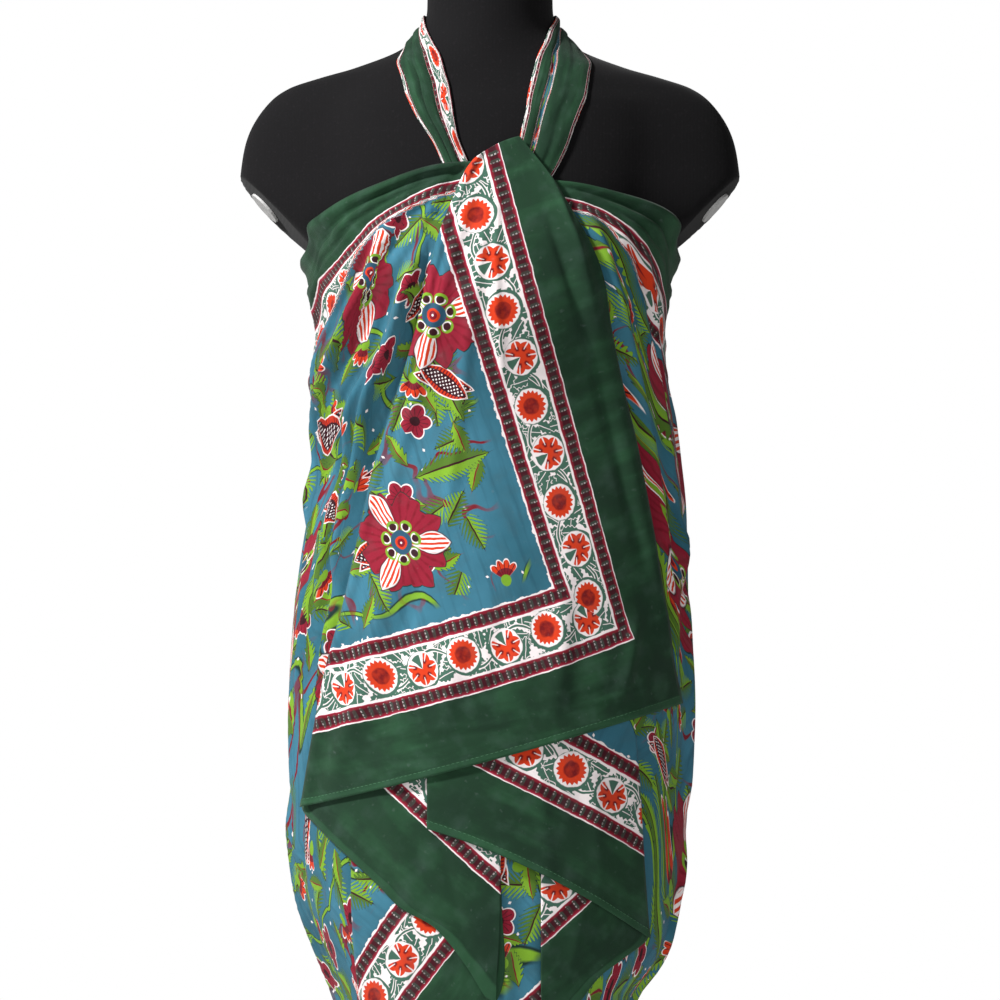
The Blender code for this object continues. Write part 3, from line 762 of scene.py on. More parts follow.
def degrees_at(x, z, stand=0.0):
    """Degrees round the front of the wrapped surface, this far out from it, of these places."""
    width, _ = half_axes(z / MM, x < 0, True)
    return np.degrees(np.arcsin(np.clip(-x / (width + stand), -FRONT_REACH, FRONT_REACH)))


def panel_edge(z, column):
    """Degrees of the front panel's left or right edge at these heights."""
    table = [(row[column + 1], row[column]) for row in FRONT_PANEL_ROWS]
    degrees = degrees_at(along(table, z / MM, 1) * MM, z, PANEL_OUT)
    return degrees if column == 0 else 360 + degrees


def new_cloth(name, points, cloth_u, cloth_v, look):
    """A thin cloth of a grid of points, whose UV map holds its place on the cut cloth in metres."""
    rows, columns = points.shape[:2]
    index = np.arange(rows * columns).reshape(rows, columns)
    corners = (index[:-1, :-1], index[:-1, 1:], index[1:, 1:], index[1:, :-1])
    faces = np.stack([corner.ravel() for corner in corners], axis=-1)
    mesh = bpy.data.meshes.new(name)
    mesh.from_pydata(points.reshape(-1, 3).tolist(), [], faces.tolist())
    layer = mesh.uv_layers.new(name="cloth")
    flat = np.stack([cloth_u.ravel(), cloth_v.ravel()], axis=-1)
    layer.data.foreach_set("uv", flat[faces.ravel()].ravel().astype(np.float32))
    made = new_piece(name, mesh, look)
    wall = made.modifiers.new("wall", "SOLIDIFY")
    wall.thickness = COTTON_THICK
    wall.offset = 0.0
    return made


def lengths_along(points, axis):
    """Distance run along the grid from its first row or column."""
    steps = np.linalg.norm(np.diff(points, axis=axis), axis=-1)
    start = np.zeros_like(np.take(steps, [0], axis=axis))
    return np.concatenate([start, np.cumsum(steps, axis=axis)], axis=axis)


# The print: block printed in several passes, each a little off the last. From the cloth's edge inwards
# come the plain border, a beaded band, a flowering vine, a second beaded band and the field.

BEAD_WIDE = 0.014
VINE_WIDE = 0.038
FIELD_EDGE = GREEN_WIDE + BEAD_WIDE + VINE_WIDE + BEAD_WIDE
BEAD_PITCH = 0.0072
VINE_PITCH = 0.043
HERO_SIZE = 0.048
HERO_PLACE = (1.546, 0.201)
HERO_STEP = (0.200, 0.180)

BOTTLE_GREEN = (0.0080, 0.0360, 0.0155)
LIGHT_GREEN = (0.0200, 0.0800, 0.0340)
HEM_GREEN = (0.0395, 0.1473, 0.0637)
VINE_GREEN = (0.0467, 0.1195, 0.0837)
TEAL = (0.0200, 0.1050, 0.1500)
TEAL_LIGHT = (0.0460, 0.1800, 0.2600)
MAROON = (0.1714, 0.0040, 0.0137)
DARK_MAROON = (0.0331, 0.0024, 0.0072)
CRIMSON = (0.3300, 0.0180, 0.0500)
ORANGE = (0.5900, 0.0370, 0.0060)
LIME = (0.1714, 0.3424, 0.0197)
OLIVE = (0.0700, 0.1500, 0.0150)
OFF_WHITE = (0.8276, 0.7487, 0.7487)
BEAD_GREY = (0.0300, 0.0620, 0.0460)
PETAL_RED = (0.2500, 0.0085, 0.0260)
BLOOD_RED = (0.1600, 0.0040, 0.0050)
OUTLINE = (0.0060, 0.0240, 0.0200)
TEAL_BRUSHED = (0.0120, 0.0560, 0.0850)
EYE_BLUE = (0.020, 0.075, 0.130)
BEAD_PALE = (0.42, 0.36, 0.36)
GREEN_DEEP = (0.0050, 0.0190, 0.0110)
GREEN_SEAM = (0.0080, 0.0350, 0.0150)
COTTON_WORN = (0.060, 0.085, 0.085)
COTTON_FADED = (0.200, 0.240, 0.240)

# How steeply a mask made from a random number falls: each motif is either there or not.
PICK_SHARP = 600.0

# The field's single leaves, in the order they are printed: where their scatter starts, how many to a
# metre, how uneven, how far inside the border they stay, length, half width, fill, darker half, midrib,
# teeth, and the share that is printed.
FIELD_LEAVES = (
    ((0.33, 0.71), 27.0, 0.85, 0.026, 0.0190, 0.0075, OLIVE, LIME, DARK_MAROON, 0.75, 0.78),
    ((0.00, 0.00), 23.0, 0.80, 0.024, 0.0170, 0.0068, LIME, OLIVE, MAROON, 0.22, 0.70),
)

# Length and half width.
BRANCH_LEAF = (0.0380, 0.0105)
SLIM_POD = (0.0270, 0.0080)
FULL_POD = (0.0250, 0.0110)
BUD_SIZE = 0.0175
FLOWER_SIZE = 0.0150

# The vine's leaves: where their scatter starts, how many to a metre, length and half width. Its
# flowers are as big as a disc with a darker one printed a little off it.
VINE_LEAVES = ((0.17, 48.0, 0.0150, 0.0066), (0.42, 66.0, 0.0112, 0.0050))
DISC_SIZE = 0.0168
DISC_SHADOW = 0.0172
VINE_PETALS = 0.0116
STEM_SWING = 0.0125
STEM_WIDE = 0.0012
STEM_RIM = 0.0021

# Waves in teeth and dots, and in fine stripes, in radians to a metre.
TOOTH_PACE = 1500.0
STRIPE_PACE = 2100.0


def polar(spot):
    """How far out from a motif's middle, and in which direction."""
    x, y = spot.apart()
    return spot.vector("LENGTH", output=1), y.math("ARCTAN2", x)


def turned(spot, angle):
    inputs = {"Vector": spot, "Angle": angle}
    return spot.node("ShaderNodeVectorRotate", {"rotation_type": "Z_AXIS"}, inputs)


def scattered(place, shift, scale, jitter, margin=None):
    """Place seen from the nearest of many scattered and turned spots, and a random number for each.

    The number is over 1 for spots nearer to the cloth's edge than the margin.
    """
    inputs = {"Vector": place.vector("ADD", (*shift, 0.0)), "Scale": scale, "Randomness": jitter}
    colour = place.node("ShaderNodeTexVoronoi", {"voronoi_dimensions": "2D"}, inputs, "Color")
    chance, other = colour.apart()
    centre = colour.beside("Position").vector("SUBTRACT", (*shift, 0.0))
    away = place.vector("SUBTRACT", centre)
    if margin:
        other = other + cloth_depth(*centre.apart()).under(margin, 900.0) * 2.0
    return turned(away, chance * math.tau), other


def cloth_depth(u, v):
    """How far a place on the cloth is from its nearest edge."""
    sides = u.math("MINIMUM", CUT_LONG - u), v.math("MINIMUM", CUT_SHORT - v)
    return sides[0].math("MINIMUM", sides[1])


def seen_from(place, centre, turn, tile):
    """Place seen from a motif's middle, where the motif repeats over the tile."""
    half = (tile[0] / 2, tile[1] / 2, 1.0)
    near = place.vector("SUBTRACT", (*centre, 0.0)).vector("WRAP", half, tuple(-side for side in half))
    return turned(near, -math.radians(turn))


def leaf(colour, spot, long, wide, fill, shade, vein, teeth, shown):
    """A pointed leaf with toothed edges, a dark outline, one half darker, and a midrib and stalk."""
    x, y = spot.apart()
    share, off_vein = x / long, abs(y)
    half = (1.0 - share * share) * wide
    tooth = (x + off_vein * 0.9).sine(TOOTH_PACE) * half * teeth
    colour = colour.painted(OUTLINE, off_vein.under(half + tooth + 0.0006) * shown)
    inside = off_vein.under(half + tooth) * shown
    colour = colour.painted(fill, inside).painted(shade, inside * y.under(0.0, 900.0))
    return colour.painted(vein, off_vein.under(half * 0.08 + 0.0004) * shown)


def small_flower(colour, spot, size, shown):
    """A small flower: five rounded petals with a pale rim, lines in the petals and a dark eye."""
    reach, turn = polar(spot)
    edge = abs(turn.sine(2.5, math.pi / 2)) * (0.34 * size) + 0.66 * size
    colour = colour.painted(OFF_WHITE, reach.under(edge + 0.0013) * shown)
    colour = colour.painted(PETAL_RED, reach.under(edge) * shown)
    line = turn.sine(15.0).under(-0.72, 6.0)
    colour = colour.painted(DARK_MAROON, line * reach.under(edge * 0.85) * shown * 0.7)
    return colour.painted(DARK_MAROON, reach.under(size * 0.30) * shown)


def fan_bud(colour, spot, size, shown):
    """A half open flower: an orange fan of ragged petals over a maroon cup."""
    reach, turn = polar(spot)
    edge = abs(turn.sine(6.5)) * (0.22 * size) + 0.80 * size
    fan = abs(turn).under(0.95, 14.0) * shown
    colour = colour.painted(OFF_WHITE, fan * reach.under(edge + 0.0012))
    colour = colour.painted(ORANGE, fan * reach.under(edge))
    colour = colour.painted(MAROON, fan * reach.under(0.62 * size))
    colour = colour.painted(DARK_MAROON, fan * reach.under(edge) * turn.sine(19.0).under(-0.8, 6.0))
    return colour.painted(LIME, reach.under(0.30 * size) * shown)


def pod(colour, spot, long, wide, shown):
    """A pointed pod: a striped orange rim round maroon with white dots."""
    x, y = spot.apart()
    share = x / long
    half = (1.0 - share * share) * wide
    edge = abs(y)
    colour = colour.painted(OFF_WHITE, edge.under(half + 0.0011) * shown)
    colour = colour.painted(ORANGE, edge.under(half) * shown)
    stripes = x.sine(STRIPE_PACE).under(-0.1, 4.0)
    colour = colour.painted(MAROON, edge.under(half * 0.95) * stripes * shown)
    colour = colour.painted(DARK_MAROON, edge.under(half * 0.62) * shown)
    dots = x.sine(TOOTH_PACE) * y.sine(TOOTH_PACE, math.pi / 2) - 0.35
    return colour.painted(OFF_WHITE, dots * 6.0 * edge.under(half * 0.50) * shown)


def blossom(colour, spot, size):
    """A big flower: ragged crimson petals, three striped pointed ones, and an eye ringed by cups."""
    reach, turn = polar(spot)
    reach = reach / size
    sharp = 1800 * size
    tips = (turn * (13.0 / math.tau)).math("PINGPONG", 0.5)
    ragged = abs(turn.sine(4.0, 0.6)) * 0.20 + tips * 0.26 + 0.66
    colour = colour.painted(OUTLINE, reach.under(ragged + 0.02, sharp))
    colour = colour.painted(PETAL_RED, reach.under(ragged, sharp))
    veins = turn.sine(26.0, 1.0) + spot.noise(160.0) * 2.0
    colour = colour.painted(MAROON, reach.under(ragged - 0.03, sharp) * (veins - 1.2) * 0.9)
    across = (turn * (3.0 / math.tau) + 0.11).wrapped(0.5)
    middle = (reach - 0.52) / 0.50
    limit = (1.0 - middle * middle) * 0.155
    colour = colour.painted(DARK_MAROON, abs(across).under(limit + 0.026, 60.0))
    colour = colour.painted(OFF_WHITE, abs(across).under(limit + 0.010, 70.0))
    stripes = (across * reach).sine(150.0).under(0.15, 4.0)
    colour = colour.painted(ORANGE, abs(across).under(limit - 0.004, 70.0) * stripes)
    cup = (turn * (7.0 / math.tau)).wrapped(0.5) * 0.27
    away = spot.node("ShaderNodeCombineXYZ", (), {0: reach - 0.31, 1: cup}).vector("LENGTH", output=1)
    colour = colour.painted(LIME, away.under(0.125, sharp) + reach.under(0.20, sharp))
    colour = colour.painted(OFF_WHITE, away.under(0.098, sharp) * reach.under(0.36, sharp))
    colour = colour.painted(DARK_MAROON, away.under(0.075, sharp))
    colour = colour.painted(EYE_BLUE, reach.under(0.23, sharp))
    colour = colour.painted(ORANGE, reach.under(0.13, sharp)).painted(MAROON, reach.under(0.085, sharp))
    return colour.painted(OFF_WHITE, reach.under(0.026, sharp))


def field_print(place):
    """The field: a mottled teal ground under stems, leaves, buds, pods and big flowers."""
    cloud = place.noise(9.0, 5.0)
    ground = two_colours((cloud - 0.36) * 3.2, TEAL, TEAL_LIGHT)
    brushed = place.vector("MULTIPLY", (150.0, 12.0, 1.0)).noise(1.0, 3.0)
    colour = ground.painted(TEAL_BRUSHED, (brushed - 0.50) * 2.0)
    inner = 1.0 - cloth_depth(*place.apart()).under(FIELD_EDGE + 0.020, 120.0)
    stems = abs(place.noise(6.5, 1.0) - 0.5)
    colour = colour.painted(OUTLINE, stems.under(0.0105, 420.0) * inner)
    colour = colour.painted(LIME, stems.under(0.0068, 420.0) * inner)
    twigs = abs(place.noise(19.0, 1.5) - 0.5).under(0.018, 160.0) * (cloud - 0.50) * 9.0
    colour = colour.painted(MAROON, twigs * inner)
    specks, other = scattered(place, (0.0, 0.0), 48.0, 1.0)
    x, y = specks.apart()
    fleck = (x * 0.4).vector("LENGTH", output=1) + abs(y)
    colour = colour.painted(OFF_WHITE, fleck.under(0.0015) * other.under(0.35, PICK_SHARP))
    for shift, scale, jitter, margin, *drawing, share in FIELD_LEAVES:
        spot, other = scattered(place, shift, scale, jitter, FIELD_EDGE + margin)
        colour = leaf(colour, spot, *drawing, other.under(share, PICK_SHARP))
    spot, other = scattered(place, (0.11, 0.27), 17.0, 0.8, FIELD_EDGE + 0.018)
    colour = fan_bud(colour, spot, BUD_SIZE, other.under(0.55, PICK_SHARP))
    colour = small_flower(colour, spot, FLOWER_SIZE, other.between(0.70, 1.0, PICK_SHARP))
    spot, other = scattered(place, (0.52, 0.13), 9.5, 0.75, FIELD_EDGE + 0.030)
    branch, inks = turned(spot, 0.5), (LIME, OLIVE, DARK_MAROON)
    colour = leaf(colour, branch, *BRANCH_LEAF, *inks, 0.30, other.under(1.2, 9.0))
    colour = pod(colour, turned(spot, -0.35), *SLIM_POD, other.under(0.75, PICK_SHARP))
    colour = pod(colour, spot, *FULL_POD, other.under(0.62, PICK_SHARP))
    u, v = place.vector("SUBTRACT", (*HERO_PLACE, 0.0)).apart()
    row = (v / HERO_STEP[1] + 0.5).math("FLOOR")
    across = (u - row * (HERO_STEP[0] / 2)).wrapped(HERO_STEP[0] / 2)
    spot = place.node("ShaderNodeCombineXYZ", (), {0: across, 1: v - row * HERO_STEP[1]})
    return blossom(colour, turned(spot, row * 1.9), HERO_SIZE)


def vine_disc(colour, near, shift, rough, within):
    """The off-white ground of a flower of the vine, over a green ground printed a little off it."""
    shifted = near.vector("ADD", (*shift, 0.0)).vector("LENGTH", output=1)
    colour = colour.painted(VINE_GREEN, shifted.under(DISC_SHADOW) * within)
    reach, turn = polar(near)
    ground = (reach + rough * 0.0022).under(DISC_SIZE, 1400.0)
    return colour.painted(OFF_WHITE, ground * within), reach, turn


def border_print(colour, depth, run, rough):
    """Paints the border over the field; depth is from the cloth's edge and run along that edge."""
    vine_low, vine_high = GREEN_WIDE + BEAD_WIDE, GREEN_WIDE + BEAD_WIDE + VINE_WIDE
    colour = colour.painted(OFF_WHITE, (depth + (rough - 0.5) * 0.006).under(FIELD_EDGE + 0.0012))
    middle, step = (vine_low + vine_high) / 2, 2 * VINE_PITCH
    within = depth.between(vine_low + 0.0012, vine_high - 0.0012)
    spot = depth.node("ShaderNodeCombineXYZ", (), {0: run, 1: depth})
    for shift, scale, long, wide in VINE_LEAVES:
        near, _ = scattered(spot, (shift, shift), scale, 0.9)
        x, y = near.apart()
        share = x / long
        edge = (1.0 - share * share) * wide + x.sine(TOOTH_PACE) * 0.0007
        colour = colour.painted(OFF_WHITE, within * abs(y).under(edge + 0.0007))
        midrib = 1.0 - abs(y - 0.0004).under(0.0005, 3000.0)
        colour = colour.painted(VINE_GREEN, within * abs(y).under(edge) * midrib)
    off_stem = abs(depth - middle - run.sine(math.tau / step, 2.2) * STEM_SWING)
    colour = colour.painted(OFF_WHITE, off_stem.under(STEM_RIM))
    colour = colour.painted(VINE_GREEN, off_stem.under(STEM_WIDE))
    near = seen_from(spot, (0.0215, middle + 0.0015), 80, (step, 1.0))
    colour, reach, turn = vine_disc(colour, near, (0.0014, 0.0008), rough, within)
    teeth = (turn * (19.0 / math.tau)).math("PINGPONG", 0.5)
    colour = colour.painted(ORANGE, reach.under(teeth * 0.0050 + VINE_PETALS))
    colour = colour.painted(BLOOD_RED, (reach + rough * 0.0040).under(0.0100, 700.0) * (rough * 1.7))
    near = seen_from(spot, (0.0645, middle - 0.0015), -70, (step, 1.0))
    colour, reach, turn = vine_disc(colour, near, (-0.0013, 0.0010), rough, within)
    lobes = abs(turn.sine(3.5))
    petals = reach.under(lobes * 0.0030 + VINE_PETALS)
    fan = abs(turn).under(2.50, 14.0)
    colour = colour.painted(VINE_GREEN, reach.under(0.0130) * (1.0 - abs(turn).under(2.80, 14.0)))
    colour = colour.painted(ORANGE, petals * fan)
    spots = reach.between(0.0050, 0.0098, 900.0) * (lobes - 0.45) * 2.2
    colour = colour.painted(BLOOD_RED, spots * fan)
    gaps = turn.sine(7.0, 1.6).under(-0.90, 10.0) * reach.between(0.0072, 0.0200)
    colour = colour.painted(OFF_WHITE, petals * fan * gaps)
    for low in (GREEN_WIDE, vine_high):
        high, centre = low + BEAD_WIDE, low + BEAD_WIDE / 2
        colour = colour.painted(OFF_WHITE, depth.between(low - 0.0001, high + 0.0001) * (rough + 0.45))
        colour = colour.painted(CRIMSON, depth.between(low + 0.0005, high - 0.0005))
        colour = colour.painted(MAROON, depth.between(low + 0.0016, high - 0.0012))
        colour = colour.painted(DARK_MAROON, depth.between(low + 0.0030, high - 0.0028, 900.0) * 0.9)
        ends = (abs(run.wrapped(BEAD_PITCH / 2)) / 0.0019).math("POWER", 2.4)
        across = abs(depth - centre) / 0.0047
        bead = ends + across.math("POWER", 4.0)
        colour = colour.painted(BEAD_GREY, bead.under(1.0, 3.0) * (rough * 1.2))
        side = abs((run + 0.0009).wrapped(BEAD_PITCH / 2)).under(0.0008)
        notches = (depth - centre).sine(STRIPE_PACE, math.pi / 2).under(0.3, 4.0)
        worn = (rough - 0.38) * 5.0
        colour = colour.painted(BEAD_PALE, bead.under(1.1, 3.0) * side * notches * worn)
    return colour


def plain_border(colour, place, depth):
    """Paints the plain border: uneven green, paler on the double hem, with the hem's sewn line."""
    streaks = place.vector("MULTIPLY", (14.0, 70.0, 1.0)).noise(1.0, 5.0)
    patches = place.noise(24.0, 6.0)
    green = two_colours((streaks - 0.47) * 2.0 + (patches - 0.5) * 2.0, BOTTLE_GREEN, LIGHT_GREEN)
    green = green.painted(GREEN_DEEP, (0.51 - patches) * 3.0)
    green = green.painted(HEM_GREEN, depth.under(HEM_WIDE, 700.0) * (streaks * 0.5 - 0.02))
    sewn = depth.between(HEM_WIDE - 0.0006, HEM_WIDE + 0.0006)
    green = green.painted(GREEN_SEAM, sewn * 0.7)
    wide = GREEN_WIDE + (patches - 0.5) * 0.0016
    return two_colours(depth.under(wide), colour, green)


def printed_cotton():
    """Cotton with the print on it, a little worn, with its threads and a soft crumple."""
    made, shader, wire = new_material("printed_cotton")
    place = wire.node("ShaderNodeUVMap", {"uv_map": "cloth"})
    wobble = place.noise(85.0, 2.0, output="Color").vector("SUBTRACT", (0.5, 0.5, 0.5))
    printed = place.vector("ADD", wobble.vector("MULTIPLY", (0.0022, 0.0022, 0.0)))
    u, v = printed.apart()
    end_depth, side_depth = u.math("MINIMUM", CUT_LONG - u), v.math("MINIMUM", CUT_SHORT - v)
    depth = end_depth.math("MINIMUM", side_depth)
    run = u + (v - u) * end_depth.math("LESS_THAN", side_depth)
    rough = place.noise(160.0, 2.0)
    colour = border_print(field_print(printed), depth, run, rough)
    colour = plain_border(colour, place, depth)
    worn = place.noise(48.0, 6.0)
    colour = colour.painted(COTTON_WORN, (worn - 0.50) * 0.9)
    colour = colour.painted(COTTON_FADED, (rough - 0.66) * 1.1)
    feed(shader, "Base Color", colour)
    thread = place.node("ShaderNodeTexChecker", (), {"Vector": place, "Scale": 2600.0}, 1)
    crumple = place.noise(34.0, 4.0)
    feed(shader, "Normal", raised(thread * 0.12 + crumple * 1.6 + worn * 0.4, 0.45, 0.9 * MM))
    feed(shader, "Roughness", worn * 0.12 + 0.80)
    shader.inputs["Specular IOR Level"].default_value = 0.20
    shader.inputs["Sheen Weight"].default_value = 0.06
    return made


cotton = printed_cotton()

# How far in from the cloth's edge a hem is sewn, how far its stitches stand proud of the cloth, and
# the rows of a grid, from the edge, in which that line is looked for.
SEAM_IN = 5.8 * MM
STITCH_PROUD = 0.05 * MM
SEAM_ROWS = 40


def wrap_grid():
    """Shares of the way round and of the way up of the wrap's columns and rows."""
    steps = np.linspace(0.0, 1.0, 2001)
    crowd = 1.0 - BACK_SPARSE * (ease(*BACK_STARTS, steps) - ease(*BACK_ENDS, steps))
    crowd = np.cumsum(crowd) - crowd[0]
    share = np.interp(np.linspace(0.0, crowd[-1], WRAP_COLUMNS + 1), crowd, steps)
    skirt = np.linspace(0.0, BUST_FROM, SKIRT_ROWS + 1)[:-1]
    rise = np.concatenate([skirt, np.linspace(BUST_FROM, 1.0, BUST_ROWS + 1)])
    return share[None, :], rise[:, None]


def print_drop(round_top, drop):
    """How far under the cloth's own edge the print is, this far under the rolled top edge."""
    drop = drop + along(TOP_EDGE, round_top, 2) * MM
    from_front = np.minimum(round_top, 360 - round_top)
    pinch = PRINT_PINCH * np.exp(-((from_front / PINCH_SPREAD) ** 2))
    drop = drop + pinch * ease(GREEN_WIDE, GREEN_WIDE + BEAD_WIDE, drop)
    tucked = along(TOP_EDGE, round_top, 3) * MM
    tuck_from = FIELD_EDGE - tucked
    return drop + tucked * (1 + PLAIN_TUCKED) * ease(tuck_from, tuck_from + TUCK_WIDE, drop)


def body_wrap():
    """The wrap, its grid of points, and how far each of them is from the cloth's lower edge."""
    share, rise = wrap_grid()
    (left_x, left_z), (right_x, right_z) = np.array(TOP_ENDS)
    round_top = blend(degrees_at(left_x, left_z), 360 + degrees_at(right_x, right_z), share)
    top = along(TOP_EDGE, round_top, 1) * MM
    front = np.exp(-((np.minimum(share, 1 - share) / HEM_RISE_SPREAD) ** 2))
    z = blend(HEM_HEIGHT + HEM_FRONT_RISE * front, top, rise)
    start = degrees_at(along(WRAP_ENDS, z / MM, 1) * MM, z)
    end = 360 + degrees_at(along(WRAP_ENDS, z / MM, 2) * MM, z)
    degrees = blend(start, end, share)
    from_left, to_right = degrees - panel_edge(z, 0), panel_edge(z, 2) - degrees
    shown = ease(*FOLDS_BEGIN, from_left) * ease(*FOLDS_BEGIN, to_right)
    roll = COTTON_THICK * (1 + 2 * np.exp(-(((top - z) / TOP_ROLL) ** 2)))
    lift, lost = creases(degrees, z / MM, LONG_FOLDS, FOLD_PACE)
    lift = (lift * FOLD_GROWTH + band_creases(round_top, top - z)) * shown
    trough_at, trough_wide, trough_deep, (trough_low, trough_high) = EDGE_TROUGH
    trough = np.exp(-(((from_left - trough_at) / trough_wide) ** 2)) * ease(trough_high, trough_low, z)
    lift = np.maximum(lift - trough_deep * trough, -DEEPEST_FOLD)
    points = on_wrap(degrees, z, roll + lift)
    run = lengths_along(on_wrap(degrees, z, COTTON_SEAT), 1) + lost
    back = WRAP_COLUMNS // 2
    cloth_u = BACK_U - (run - run[:, back : back + 1])
    drop = print_drop(round_top, top - z)
    full = drop[:1]
    cloth_v = CUT_SHORT - drop * (1 + (CUT_SHORT / full - 1) * ease(0.25, 1.0, drop / full))
    return new_cloth("sarong_body_wrap", points, cloth_u, cloth_v, cotton), points, cloth_v


def flat_cut(piece):
    """Size of the flat cut that a stretch takes up, and its area, from its place on the cloth."""
    mesh = piece.data
    flat = np.empty(len(mesh.loops) * 2, np.float32)
    mesh.uv_layers["cloth"].data.foreach_get("uv", flat)
    corners = flat.reshape(-1, 4, 2).astype(float)
    across = corners[:, 2] - corners[:, 0]
    back = corners[:, 3] - corners[:, 1]
    area = float(np.abs(across[:, 0] * back[:, 1] - across[:, 1] * back[:, 0]).sum() / 2)
    size = tuple(float(side) for side in np.ptp(corners.reshape(-1, 2), axis=0))
    return {"flat": size, "area": max(area, 0.3 * size[0] * size[1])}


def seam_line(points, depth):
    """The line of the grid where the hem is sewn, just over the cloth's outer face."""
    across = np.gradient(points, axis=1)
    up = np.gradient(points, axis=0)
    normal = np.cross(across, up)
    normal = normal / np.maximum(np.linalg.norm(normal, axis=-1, keepdims=True), 1e-12)
    outer = points + normal * (COTTON_THICK * 0.5 + STITCH_PROUD)
    line = []
    for column in range(points.shape[1]):
        inwards = depth[:, column]
        if inwards.min() > SEAM_IN or inwards.max() < SEAM_IN:
            continue
        order = np.argsort(inwards[:SEAM_ROWS])
        inwards, place = inwards[:SEAM_ROWS][order], outer[:SEAM_ROWS, column][order]
        line.append([np.interp(SEAM_IN, inwards, place[:, k]) for k in range(3)])
    return line


wrap, wrap_points, wrap_depth = body_wrap()
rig.ride(wrap, "root")
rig.replaces(wrap, "body_wrap")
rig.slot(wrap, "printed_cotton")
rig.sheet(wrap, held="draped", rests_on=[form], **flat_cut(wrap))
seams = [seam_line(wrap_points, wrap_depth)]

# The front stretches: the slanted corner of cloth over the front, and the folds of its hem and of the
# hem under it, which zigzag down to either side. Nothing holds them but the tie above; each lies a
# little further out than the next, and the narrow hems show as a lighter, thicker strip.

UNDER_PANEL_ROWS = (
    (-53, 762, 135, 668, 10),
    (-53, 792, 130, 741, 4),
    (-53, 822, 126, 808, 0),
    (-51, 852, 121, 868, 0),
)
LEFT_CASCADE_ROWS = (
    (-4, 620, 5, 614, 0),
    (-22, 649, 6, 640, 0),
    (-46, 678, 8, 668, 0),
    (-75, 695, 9, 692, 0),
    (-95, 715, 9, 716, 0),
    (-123, 741, 9, 750, 0),
    (-145, 762, 9, 784, 0),
    (-159, 780, 9, 818, 0),
    (-152, 808, 9, 850, 0),
)
LEFT_CASCADE_LOWER_ROWS = (
    (-96, 480, -88, 482, 0),
    (-98, 529, -67, 531, 0),
    (-103, 580, -25, 580, 0),
    (-113, 640, 10, 627, 0),
    (-117, 695, 10, 695, 0),
    (-117, 742, 8, 742, 0),
)
RIGHT_CASCADE_ROWS = (
    (44, 572, 52, 578, 0),
    (44, 600, 75, 614, 0),
    (43, 628, 92, 636, 0),
    (43, 656, 112, 651, 0),
    (43, 684, 132, 667, 0),
    (43, 716, 131, 680, 0),
    (43, 746, 127, 716, 0),
)
CENTRE_FALL_ROWS = (
    (-12, 400, 70, 486, 0),
    (-13, 480, 70, 540, 0),
    (-14, 600, 70, 620, 0),
    (-15, 700, 70, 700, 0),
    (-15, 790, 70, 790, 0),
)

# How far each front stretch stands out from the wrap: across, and distance out, in mm.
FRONT_PANEL_STAND = ((-175, 8.4), (-117, 8.6), (-58, 13.0), (20, 13.0), (120, 9.6), (150, 4.0))
UNDER_PANEL_STAND = ((20, 10.2), (120, 6.8))
LEFT_CASCADE_STAND = ((-117, 5.4), (-24, 7.8))
LEFT_CASCADE_LOWER_STAND = ((-117, 2.8), (-24, 5.3))
RIGHT_CASCADE_STAND = ((72, 5.3), (120, 3.0))
CENTRE_FALL_STAND = ((0, 3.0), (1, 3.0))
FRONT_PANEL_FLAT_STAND = 3.4
FRONT_PANEL_LIFT = (0.960, 0.885)

# Folds of the front panel, as half width and height, then height and distance across, in mm; and the
# small creases along its hem, as half width and height, then distance across and height.
PANEL_FOLDS = (
    (2.6, 1.6, ((1240, 80), (1258, 72), (1313, 50), (1336, 35), (1347, 22))),
    (8.0, 2.6, ((900, 152), (937, 147), (1039, 125), (1184, 92), (1294, 57), (1330, 36))),
    (4.0, -1.2, ((960, 136), (1080, 104), (1200, 74), (1290, 44))),
    (5.0, -2.0, ((1040, -94), (1098, -88), (1166, -68), (1219, -47))),
    (6.0, 2.4, ((1010, -84), (1056, -80), (1141, -59), (1251, -30), (1320, -9))),
    (6.0, 1.5, ((1000, -37), (1040, -34), (1184, -17), (1311, 1))),
    (4.0, 1.2, ((1120, 12), (1230, 5), (1325, 8))),
    (9.0, 3.2, ((790, -136), (869, -110), (988, -82))),
    (7.0, -1.8, ((815, -100), (900, -78), (990, -58))),
    (10.0, 2.2, ((830, -42), (880, -34), (954, -20))),
    (8.0, -1.6, ((845, 2), (900, 8), (960, 12))),
    (10.0, 2.4, ((845, 52), (920, 60), (985, 62))),
    (6.0, 2.0, ((858, 108), (905, 118), (950, 124))),
)
PANEL_CREASES = (
    (1.7, 1.1, ((-140, 832), (-60, 845), (9, 851), (40, 860))),
    (1.5, 0.9, ((-148, 811), (-51, 825), (-10, 832))),
    (1.6, 0.9, ((25, 868), (80, 880), (128, 896))),
    (2.0, -0.8, ((-100, 827), (-40, 838), (30, 850))),
    (1.8, 0.8, ((60, 862), (110, 874), (150, 884))),
)
UNDER_PANEL_FOLDS = (
    (8.0, 2.2, ((680, 96), (740, 92), (820, 84))),
    (7.0, 1.6, ((700, 52), (780, 44), (830, 40))),
)
LEFT_CASCADE_FOLDS = (
    (8.0, 2.0, ((690, -62), (740, -74), (800, -96))),
    (6.0, -1.2, ((640, -14), (720, -34), (800, -52))),
)
LEFT_CASCADE_LOWER_FOLDS = (
    (6.0, 1.8, ((500, -88), (600, -76), (700, -66))),
    (7.0, 1.4, ((560, -50), (640, -40), (720, -24))),
)
RIGHT_CASCADE_FOLDS = ((6.0, 1.6, ((610, 62), (670, 74), (730, 84))),)
